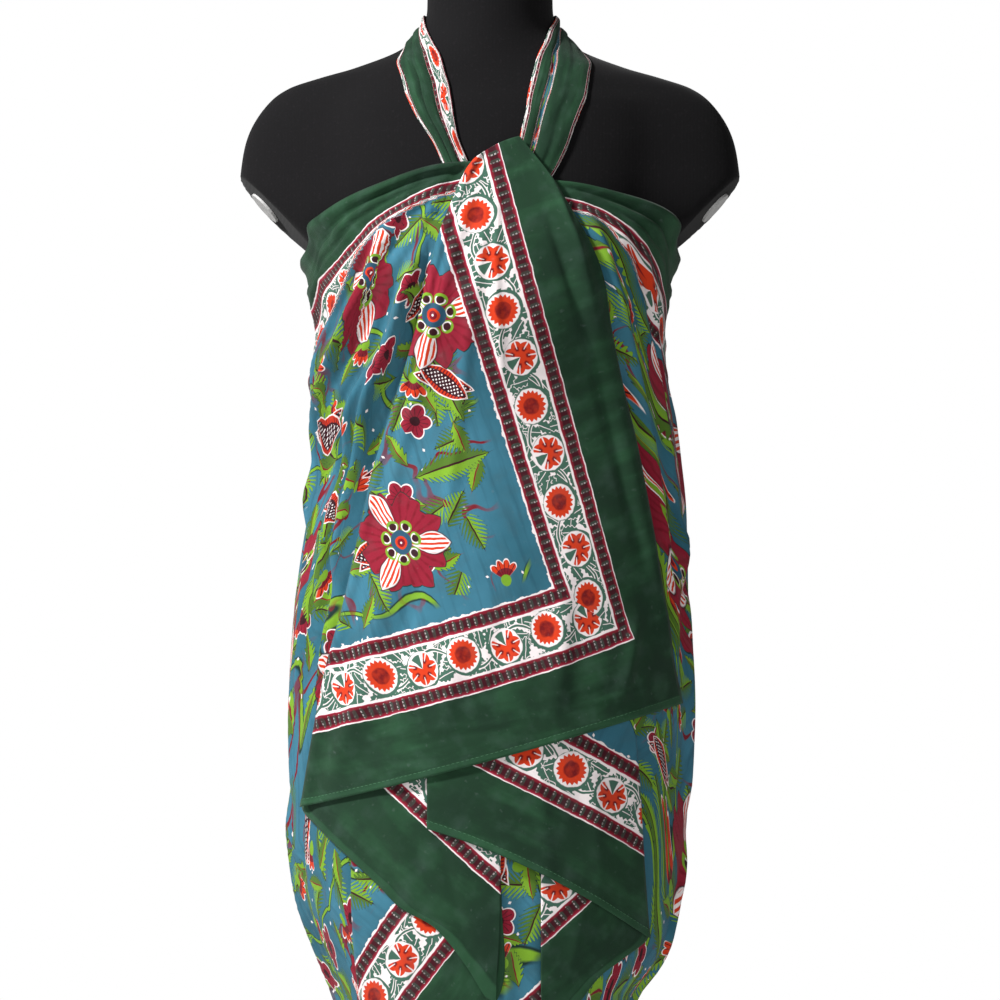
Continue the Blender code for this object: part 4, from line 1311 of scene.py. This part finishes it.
CENTRE_FALL_FOLDS = (
    (7.0, 2.4, ((420, 8), (560, 12), (760, 14))),
    (6.0, 1.8, ((450, 44), (600, 40), (760, 36))),
)

# The front panel's grid; how much more than in the tables the folds lift it and the small stretches,
# and how deep they may sink them.
PANEL_COLUMNS, PANEL_STEPS = 124, 214
PANEL_GROWTH = 1.7
PANEL_DEEPEST = 2.2 * MM
SMALL_GROWTH = 0.9
SMALL_DEEPEST = 1.2 * MM

# The front panel's left edge is rolled: height, then distance from that edge and spread in mm.
PANEL_ROLL = (3.2 * MM, 5.0, 3.6)
HEM_LIFT = 0.45 * MM
HEM_LIFT_SMALL = 0.36 * MM
HEM_STEP = 0.7 * MM

# Places on the picture's plane, across and up: the print line inside the plain border, down the front
# panel's side and along its hem, and how much wider than the picture the borders inside it are cut.
SIDE_LINE = ((0.0094, 1.3350), (0.1207, 0.9209))
HEM_LINE = ((0.1207, 0.9209), (-0.0425, 0.8665), (-0.1490, 0.8404))
SIDE_GROWTH = ((0.962, 1.15), (1.247, 1.00))
SIDE_LEAN = math.radians(16.2)
SIDE_TURNED = 13.0 * MM
SIDE_TURNED_FROM = 30.0 * MM
PHOTO_CENTRE = (0.0085, 1.039)
PHOTO_WIDTH = 0.850
CAMERA_AWAY = 12.0
ARC_STEPS = 12


def front_panel_stand(x, z):
    """The front panel lies close over the bust and stands out over the stretches below it."""
    lift = 1.0 - ease(FRONT_PANEL_LIFT[1], FRONT_PANEL_LIFT[0], z)
    return blend(FRONT_PANEL_FLAT_STAND, along(FRONT_PANEL_STAND, x / MM, 1), lift) * MM


def fine_rows(rows, count):
    """Places from the first row of a table to its last, and each of its columns there."""
    table = [(k, *row) for k, row in enumerate(rows)]
    key = (len(rows) - 1) * np.linspace(0.0, 1.0, count + 1)[:, None]
    return key, [along(table, key, k) for k in range(1, len(table[0]))]


def stretch_places(rows, columns, count):
    """Distances across and heights of a front stretch's grid, from its rows."""
    _, (left_x, left_z, right_x, right_z, bow) = fine_rows(rows, count)
    share = np.linspace(0.0, 1.0, columns + 1)[None, :]
    z = blend(left_z, right_z, share) + bow * 4 * share * (1 - share)
    return blend(left_x, right_x, share) * MM, z * MM


def as_pictured(points):
    """Where points fall on the upright plane through the stand, as the camera sees them."""
    scale = CAMERA_AWAY / (CAMERA_AWAY + points[..., 1])
    across = PHOTO_CENTRE[0] + (points[..., 0] - PHOTO_CENTRE[0]) * scale
    return across, PHOTO_CENTRE[1] + (points[..., 2] - PHOTO_CENTRE[1]) * scale


def front_arc(x, z):
    """Distance round the front of the wrapped surface, from its middle."""
    width, depth = half_axes(z / MM, x < 0, True)
    turn = np.arcsin(np.clip(x / width, -FRONT_REACH, FRONT_REACH))
    steps = (np.arange(ARC_STEPS) + 0.5) / ARC_STEPS
    pace = sum(np.hypot(width * np.cos(turn * k), depth * np.sin(turn * k)) for k in steps)
    return turn * pace / ARC_STEPS


def fit_hem(inwards, edge, depth):
    """The same distances, stretched so that the cloth's own edge has none."""
    return np.where(inwards < depth, depth * (inwards - edge) / (depth - edge), inwards)


def on_hem(depth):
    """1 on the double hem, and 0 inside it."""
    return 1 - ease(HEM_WIDE - HEM_STEP, HEM_WIDE + HEM_STEP, depth)


def front_panel():
    """The outermost stretch: one corner of the cloth, with its border down the side and the hem."""
    x, z = stretch_places(FRONT_PANEL_ROWS, PANEL_COLUMNS, PANEL_STEPS)
    stand = front_panel_stand(x, z) + COTTON_SEAT
    degrees = degrees_at(x, z, stand)
    across, up = as_pictured(on_wrap(degrees, z, stand))
    arc = front_arc(across, up)
    (top_x, top_z), (foot_x, foot_z) = SIDE_LINE
    line = front_arc(top_x + (up - top_z) * (foot_x - top_x) / (foot_z - top_z), up)
    side_in = (line - arc) * math.cos(SIDE_LEAN)
    side_in = GREEN_WIDE + side_in * np.where(side_in > 0, along(SIDE_GROWTH, up, 1), 1.0)
    side_in = fit_hem(side_in, side_in[:, -1:], GREEN_WIDE)
    turned_under = SIDE_TURNED * (1 - ease(0.0, GREEN_WIDE, side_in))
    side_in = side_in + turned_under * ease(0.0, SIDE_TURNED_FROM, z - z[:1])
    knots = np.array(HEM_LINE)
    curve = np.polyfit(front_arc(knots[:, 0], knots[:, 1]), knots[:, 1], 2)
    hem_in = (up - np.polyval(curve, arc)) / np.hypot(1.0, np.polyval(np.polyder(curve), arc))
    hem_in = fit_hem(GREEN_WIDE + hem_in, GREEN_WIDE + hem_in[:1], GREEN_WIDE)
    folds, _ = creases(x / MM, z / MM, PANEL_FOLDS)
    small_creases, _ = creases(z / MM, x / MM, PANEL_CREASES)
    lift = np.maximum(folds * PANEL_GROWTH + small_creases, -PANEL_DEEPEST)
    roll_high, roll_at, roll_wide = PANEL_ROLL
    rolled = roll_high * np.exp(-(((x - x[:, :1]) / MM - roll_at) / roll_wide) ** 2)
    hem = HEM_LIFT * on_hem(np.minimum(side_in, hem_in))
    points = on_wrap(degrees, z, stand + lift + rolled + hem)
    made = new_cloth("sarong_front_panel", points, CUT_LONG - side_in, hem_in, cotton)
    seams.append(seam_line(points, hem_in))
    return made


def hem_stretch(name, rows, stand, folds, corner, slope, depth, start, edge, size):
    """A front stretch that shows the border of one hem.

    Corner is a place in the picture, across and up, and depth how far from the cloth's edge it is.
    Slope is the fall of the hem from left to right in the picture, in degrees, start the place along
    the cloth's edge, edge the side of the stretch that has the hem, and size its columns and rows.
    """
    x, z = stretch_places(rows, *size)
    out = along(stand, x / MM, 1) * MM + COTTON_SEAT
    degrees = degrees_at(x, z, out)
    seen_x, seen_z = as_pictured(on_wrap(degrees, z, out))
    across = front_arc(seen_x, seen_z) - front_arc(np.full_like(seen_x, corner[0]), seen_z)
    up, turn = seen_z - corner[1], math.radians(slope)
    run = across * math.cos(turn) - up * math.sin(turn)
    inwards = across * math.sin(turn) + up * math.cos(turn) + depth
    edges = {"bottom": inwards[:1], "left": inwards[:, :1], "right": inwards[:, -1:]}
    if edge in edges:
        inwards = fit_hem(inwards, edges[edge], GREEN_WIDE)
    inwards = np.maximum(inwards, 0.0)
    lift, _ = creases(x / MM, z / MM, folds)
    lift = np.maximum(lift, -SMALL_DEEPEST) * SMALL_GROWTH
    points = on_wrap(degrees, z, out + lift + HEM_LIFT_SMALL * on_hem(inwards))
    if edge == "bottom":
        seams.append(seam_line(points, inwards))
    return new_cloth(name, points, start + run, inwards, cotton)


panel = front_panel()
under = hem_stretch(
    "sarong_under_panel", UNDER_PANEL_ROWS, UNDER_PANEL_STAND, UNDER_PANEL_FOLDS,
    corner=(-0.0110, 0.8120), slope=26.5, depth=GREEN_WIDE, start=0.55, edge="bottom", size=(84, 74),
)
left_fall = hem_stretch(
    "sarong_left_cascade", LEFT_CASCADE_ROWS, LEFT_CASCADE_STAND, LEFT_CASCADE_FOLDS,
    corner=(-0.0553, 0.7619), slope=41.8, depth=GREEN_WIDE, start=0.72, edge="left", size=(64, 94),
)
left_lower = hem_stretch(
    "sarong_left_cascade_lower", LEFT_CASCADE_LOWER_ROWS, LEFT_CASCADE_LOWER_STAND,
    LEFT_CASCADE_LOWER_FOLDS,
    corner=(-0.0459, 0.6361), slope=-50.8, depth=GREEN_WIDE, start=1.02, edge="right", size=(54, 84),
)
right_fall = hem_stretch(
    "sarong_right_cascade", RIGHT_CASCADE_ROWS, RIGHT_CASCADE_STAND, RIGHT_CASCADE_FOLDS,
    corner=(0.0697, 0.6829), slope=-41.3, depth=GREEN_WIDE, start=0.40, edge="right", size=(44, 74),
)
centre = hem_stretch(
    "sarong_centre_fall", CENTRE_FALL_ROWS, CENTRE_FALL_STAND, CENTRE_FALL_FOLDS,
    corner=(0.0323, 0.6250), slope=-43.9, depth=0.130, start=0.40, edge="none", size=(40, 114),
)

for piece, node in (
    (panel, "front_panel"),
    (under, "under_panel"),
    (left_fall, "left_cascade"),
    (left_lower, "left_cascade_lower"),
    (right_fall, "right_cascade"),
    (centre, "centre_fall"),
):
    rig.ride(piece, "root")
    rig.replaces(piece, node)
    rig.slot(piece, "printed_cotton")
    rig.sheet(piece, held="draped", rests_on=[wrap, form], **flat_cut(piece))

# The halter: the two gathered top corners, each bunched into a few lengthwise folds. They cross in
# front, run over the collar and are tied behind the neck in a plain knot with two hanging ends.

# Each strap from the crossing to the nape: the outer and the inner edge, each as degrees round the
# form from the middle of the front and a height in mm.
STRAP_NAPE_ROWS = (
    (106, 1424, 88, 1450),
    (124, 1420, 112, 1450),
    (144, 1418, 137, 1446),
    (162, 1421, 158, 1443),
    (177, 1425, 176, 1440),
)
LEFT_STRAP_ROWS = (
    (12, 1306, 4, 1308),
    (15.4, 1329, 7.2, 1328),
    (18.5, 1346, 9.5, 1344),
    (23, 1363, 10.8, 1360),
    (28, 1381, 12.6, 1381),
    (36, 1399, 16.5, 1398),
    (52, 1412, 25, 1413),
    (75, 1424, 43, 1427),
    (92, 1427, 66, 1440),
    *STRAP_NAPE_ROWS,
)
RIGHT_STRAP_ROWS = (
    (16, 1298, 6, 1310),
    (20.9, 1319, 8, 1332),
    (24, 1336, 9.6, 1352),
    (27, 1357, 11, 1366),
    (32, 1378, 12.5, 1383),
    (41, 1399, 17, 1401),
    (58, 1412, 25, 1414),
    (80, 1423, 42, 1428),
    (92, 1427, 62, 1441),
    *STRAP_NAPE_ROWS,
)
STRAP_SEAT = 2.2 * MM
STRAP_COLUMNS, STRAP_STEPS = 60, 200

# The folds sway a little from side to side along a strap, as a share of its width, and swell.
STRAP_SWAY = 0.018
STRAP_SWELL = 0.14
STRAP_U = 0.5

# Share of a strap's width from its outer edge, height of the folds there and depth of the cloth there
# from its own edge, both in mm.
LEFT_STRAP_FOLDS = (
    (0.00, 0.0, 96),
    (0.06, 1.6, 78),
    (0.11, 0.7, 63),
    (0.13, 2.2, 58),
    (0.28, 3.2, 44),
    (0.37, 2.6, 36),
    (0.40, 1.1, 33),
    (0.44, 2.8, 29),
    (0.56, 3.3, 18),
    (0.63, 2.4, 12),
    (0.65, 0.6, 60),
    (0.74, 1.8, 74),
    (0.80, 0.9, 80),
    (0.90, 1.8, 95),
    (1.00, 0.0, 118),
)
RIGHT_STRAP_FOLDS = (
    (0.00, 0.0, 84),
    (0.05, 1.2, 64),
    (0.10, 1.9, 54),
    (0.24, 3.2, 42),
    (0.36, 2.4, 33),
    (0.46, 3.4, 25),
    (0.58, 3.0, 14),
    (0.63, 1.9, 10),
    (0.655, 0.1, 128),
    (0.73, 0.4, 160),
    (0.765, 1.9, 50),
    (0.85, 2.9, 40),
    (0.92, 2.2, 58),
    (1.00, 0.0, 88),
)


def halter_strap(name, side, rows, folds):
    """A strap, on the left where side is 1 and on the right where it is -1."""
    key, (outer_turn, outer_z, inner_turn, inner_z) = fine_rows(rows, STRAP_STEPS)
    share = np.linspace(0.0, 1.0, STRAP_COLUMNS + 1)[None, :]
    z = blend(outer_z, inner_z, share) * MM
    sway = share + STRAP_SWAY * np.sin(key * 1.9 + side) * np.sin(math.pi * share)
    swell = 1.0 - STRAP_SWELL + STRAP_SWELL * np.sin(key * 2.6 + share * 9.0)
    height = along(folds, sway, 1) * swell * MM
    points = form_points(side * blend(outer_turn, inner_turn, share), z, STRAP_SEAT + height)
    depth = np.interp(sway, [row[0] for row in folds], [row[2] * MM for row in folds])
    run = lengths_along(points, 0)
    if side < 0:
        points, depth, run = points[:, ::-1], depth[:, ::-1], run[:, ::-1]
    return new_cloth(name, points, STRAP_U + run, depth, cotton)


left_strap = halter_strap("sarong_strap_left", 1, LEFT_STRAP_ROWS, LEFT_STRAP_FOLDS)
right_strap = halter_strap("sarong_strap_right", -1, RIGHT_STRAP_ROWS, RIGHT_STRAP_FOLDS)
for piece, node in ((left_strap, "halter_strap_left"), (right_strap, "halter_strap_right")):
    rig.ride(piece, "root")
    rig.replaces(piece, node)
    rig.slot(piece, "printed_cotton")
    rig.sheet(piece, flat=(0.045, 0.27), held="gathered", rests_on=[form])

# The tie at the nape: a small overhand knot of the cloth's two top corners, pulled tight, with a short
# pointed end that hangs down on each side of it.

KNOT_CENTRE = np.array((0.0, 0.0738, 1.4320))
KNOT_SIZE = np.array((0.0128, 0.0093, 0.0118))
KNOT_SIDES, KNOT_RINGS = 72, 40
KNOT_POLE = 0.03
KNOT_FOLDS = 4
KNOT_SLANT = 5.0
KNOT_RIDGE = 0.05
KNOT_GROOVE = 0.09
KNOT_GROOVE_AT = 1.55
KNOT_GROOVE_WIDE = 0.16

# Each end below the knot: degrees from the middle of the back, half width in degrees, height in mm.
TAIL_ROWS = (
    (6, 2.0, 1413),
    (9, 4.0, 1392),
    (12, 6.0, 1368),
    (14, 7.0, 1340),
    (15, 5.0, 1316),
    (16, 1.0, 1296),
)
TAIL_SEAT = 1.9 * MM
TAIL_FOLD = 0.9 * MM
TAIL_COLUMNS, TAIL_STEPS = 28, 96
TAIL_U = 0.9


def nape_knot():
    """The knot: rope-like folds that wind slantwise round it."""
    around = np.linspace(0.0, math.tau, KNOT_SIDES + 1)[None, :]
    down = np.linspace(KNOT_POLE, math.pi - KNOT_POLE, KNOT_RINGS + 1)[:, None]
    around, down = np.broadcast_arrays(around, down)
    wound = 1.0 - np.sin(KNOT_FOLDS * around + KNOT_SLANT * down)
    groove = np.exp(-(((down - KNOT_GROOVE_AT) / KNOT_GROOVE_WIDE) ** 2))
    radius = 1.0 - KNOT_RIDGE * wound - KNOT_GROOVE * groove
    sides = (np.sin(down) * np.cos(around), np.sin(down) * np.sin(around), -np.cos(down))
    points = KNOT_CENTRE + KNOT_SIZE * np.stack(sides, axis=-1) * radius[..., None]
    return new_cloth("sarong_nape_knot", points, 0.7 + around * 0.01, 0.020 + down * 0.009, cotton)


def nape_tail(name, side):
    """A hanging end, with a soft fold down it."""
    key, (middle, half_width, level) = fine_rows(TAIL_ROWS, TAIL_STEPS)
    share = np.linspace(-1.0, 1.0, TAIL_COLUMNS + 1)[None, :]
    fold = TAIL_FOLD * 0.5 * (1 + np.cos(share * 5.2 + 0.5 * key))
    degrees = 180 + side * (middle + share * half_width)
    points = form_points(degrees, level * MM, TAIL_SEAT + fold)
    run = lengths_along(points, 0)
    depth = (1.0 - np.abs(share)) * half_width * 2.2 * MM + 4.0 * MM
    if side > 0:
        points, run, depth = points[:, ::-1], run[:, ::-1], depth[:, ::-1]
    return new_cloth(name, points[::-1], TAIL_U + run[::-1], depth[::-1], cotton)


knot = nape_knot()
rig.ride(knot, "root")
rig.replaces(knot, "nape_knot")
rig.slot(knot, "printed_cotton")
for side, word in ((-1, "left"), (1, "right")):
    tail = nape_tail("sarong_nape_tail_" + word, side)
    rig.ride(tail, "root")
    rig.replaces(tail, "nape_tail_" + word)
    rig.slot(tail, "printed_cotton")
    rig.sheet(tail, flat=(0.030, 0.125), held="draped", rests_on=[form])

# The hems: every edge of the cloth is turned twice and held down by a line of small machine stitches
# in green cotton thread.

STITCH_PITCH = 4.2 * MM
STITCH_LONG = 3.2 * MM
THREAD_WIDE = 0.42 * MM
STITCH_SEED = 7
STITCH_SWAY = 0.12
STITCH_SIZES = ("Pitch", "Long", "Wide")
THREAD_DARK = (0.024, 0.090, 0.040)
THREAD_LIGHT = (0.070, 0.200, 0.100)


def cotton_thread():
    made, shader, wire = new_material("cotton_thread")
    ply = object_place(wire).noise(900.0, 2.0)
    feed(shader, "Base Color", two_colours(ply, THREAD_DARK, THREAD_LIGHT))
    feed(shader, "Roughness", ply * 0.2 + 0.65)
    return made


def stitching_nodes(look):
    """Geometry Nodes that set one thread stitch after another along every curve."""
    tree = bpy.data.node_groups.new("hem_stitches", "GeometryNodeTree")
    sockets = tree.interface
    sockets.new_socket("Geometry", in_out="INPUT", socket_type="NodeSocketGeometry")
    for name in STITCH_SIZES:
        sockets.new_socket(name, in_out="INPUT", socket_type="NodeSocketFloat")
    sockets.new_socket("Seed", in_out="INPUT", socket_type="NodeSocketInt")
    sockets.new_socket("Geometry", in_out="OUTPUT", socket_type="NodeSocketGeometry")
    given = Wire(tree).node("NodeGroupInput")
    pitch, long, wide, seed = (given.beside(name) for name in (*STITCH_SIZES, "Seed"))
    inputs = {"Curve": given, "Length": pitch}
    spaced = given.node("GeometryNodeResampleCurve", {"mode": "LENGTH"}, inputs)
    stitch = given.node("GeometryNodeMeshUVSphere", (), {"Segments": 6, "Rings": 4, "Radius": 0.5})
    size = given.node("ShaderNodeCombineXYZ", (), {0: long, 1: wide, 2: wide})
    stitch = given.node("GeometryNodeTransform", (), {"Geometry": stitch, "Scale": size})
    inputs = {0: (-STITCH_SWAY,) * 3, 1: (STITCH_SWAY,) * 3, "Seed": seed}
    sway = given.node("FunctionNodeRandomValue", {"data_type": "FLOAT_VECTOR"}, inputs)
    inputs = {"Vector": given.node("GeometryNodeInputTangent").vector("ADD", sway)}
    facing = given.node("FunctionNodeAlignRotationToVector", {"axis": "X"}, inputs)
    inputs = {"Points": spaced, "Instance": stitch, "Rotation": facing}
    laid = given.node("GeometryNodeInstanceOnPoints", (), inputs)
    real = given.node("GeometryNodeRealizeInstances", (), {"Geometry": laid})
    dressed = given.node("GeometryNodeSetMaterial", (), {"Geometry": real, "Material": look})
    given.node("NodeGroupOutput", (), {"Geometry": dressed})
    return tree


def hem_stitches(lines):
    curve = bpy.data.curves.new("hem_lines", "CURVE")
    curve.dimensions = "3D"
    for line in lines:
        spline = curve.splines.new("POLY")
        spline.points.add(len(line) - 1)
        for point, place in zip(spline.points, line):
            point.co = (*place, 1.0)
    path = placed("hem_lines", curve)
    look = cotton_thread()
    tree = stitching_nodes(look)
    layer = path.modifiers.new("stitches", "NODES")
    layer.node_group = tree
    values = {"Pitch": STITCH_PITCH, "Long": STITCH_LONG, "Wide": THREAD_WIDE, "Seed": STITCH_SEED}
    for item in tree.interface.items_tree:
        if item.in_out == "INPUT" and item.name in values:
            layer[item.identifier] = values[item.name]
    bpy.context.view_layer.update()
    finished = path.evaluated_get(bpy.context.evaluated_depsgraph_get())
    mesh = bpy.data.meshes.new_from_object(finished)
    bpy.data.objects.remove(path)
    mesh.materials.clear()
    return new_piece("sarong_hem_stitches", mesh, look)


stitches = hem_stitches([line for line in seams if len(line) > 1])
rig.ride(stitches, "root")
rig.slot(stitches, "printed_cotton")

# The studio: a plain pale floor, a soft key light from the upper left, a weak fill and a long lens at
# the height of the waist.

AMBIENT = 0.12
FLOOR_PALE = (0.86, 0.86, 0.85)
FLOOR_REACH = 4.0
LIGHTS_AIM = Vector((0.0, 0.0, 1.05))

floor_look, floor_shader, _ = new_material("pale_floor")
floor_shader.inputs["Base Color"].default_value = opaque(FLOOR_PALE)
floor_shader.inputs["Roughness"].default_value = 0.7
floor_mesh = bpy.data.meshes.new("floor")
floor_corners = [(x * FLOOR_REACH, y * FLOOR_REACH, 0) for x, y in ((-1, -1), (1, -1), (1, 1), (-1, 1))]
floor_mesh.from_pydata(floor_corners, [], [(0, 1, 2, 3)])
floor_mesh.materials.append(floor_look)
floor = placed("floor", floor_mesh)
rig.stage(floor)

world = bpy.data.worlds.new("studio")
world.use_nodes = True
backdrop = world.node_tree.nodes["Background"]
backdrop.inputs["Color"].default_value = (1.0, 1.0, 1.0, 1.0)
seen = Wire(world.node_tree).node("ShaderNodeLightPath", output="Is Camera Ray")
brightness = seen * (1.0 - AMBIENT) + AMBIENT
world.node_tree.links.new(brightness.socket, backdrop.inputs["Strength"])
bpy.context.scene.world = world
bpy.context.scene.view_settings.view_transform = "Standard"


def soft_light(name, place, size, power):
    light = bpy.data.lights.new(name, "AREA")
    light.size, light.energy = size, power
    made = placed(name, light)
    made.location = place
    made.rotation_euler = (LIGHTS_AIM - made.location).to_track_quat("-Z", "Y").to_euler()


soft_light("key", place=(-2.3, -1.6, 3.3), size=0.45, power=222)
soft_light("fill", place=(1.2, -3.6, 1.6), size=1.6, power=32)

lens = bpy.data.cameras.new("camera")
lens.sensor_width = 36.0
lens.lens = lens.sensor_width * CAMERA_AWAY / PHOTO_WIDTH
camera = placed("camera", lens)
camera.location = (PHOTO_CENTRE[0], -CAMERA_AWAY, PHOTO_CENTRE[1])
camera.rotation_euler = (math.radians(90), 0.0, 0.0)
bpy.context.scene.camera = camera

boxes = {"cad": cad_box, "visual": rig.bounds()}
with open("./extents.json", "w") as size_file:
    json.dump({name: [list(corner) for corner in box] for name, box in boxes.items()}, size_file)
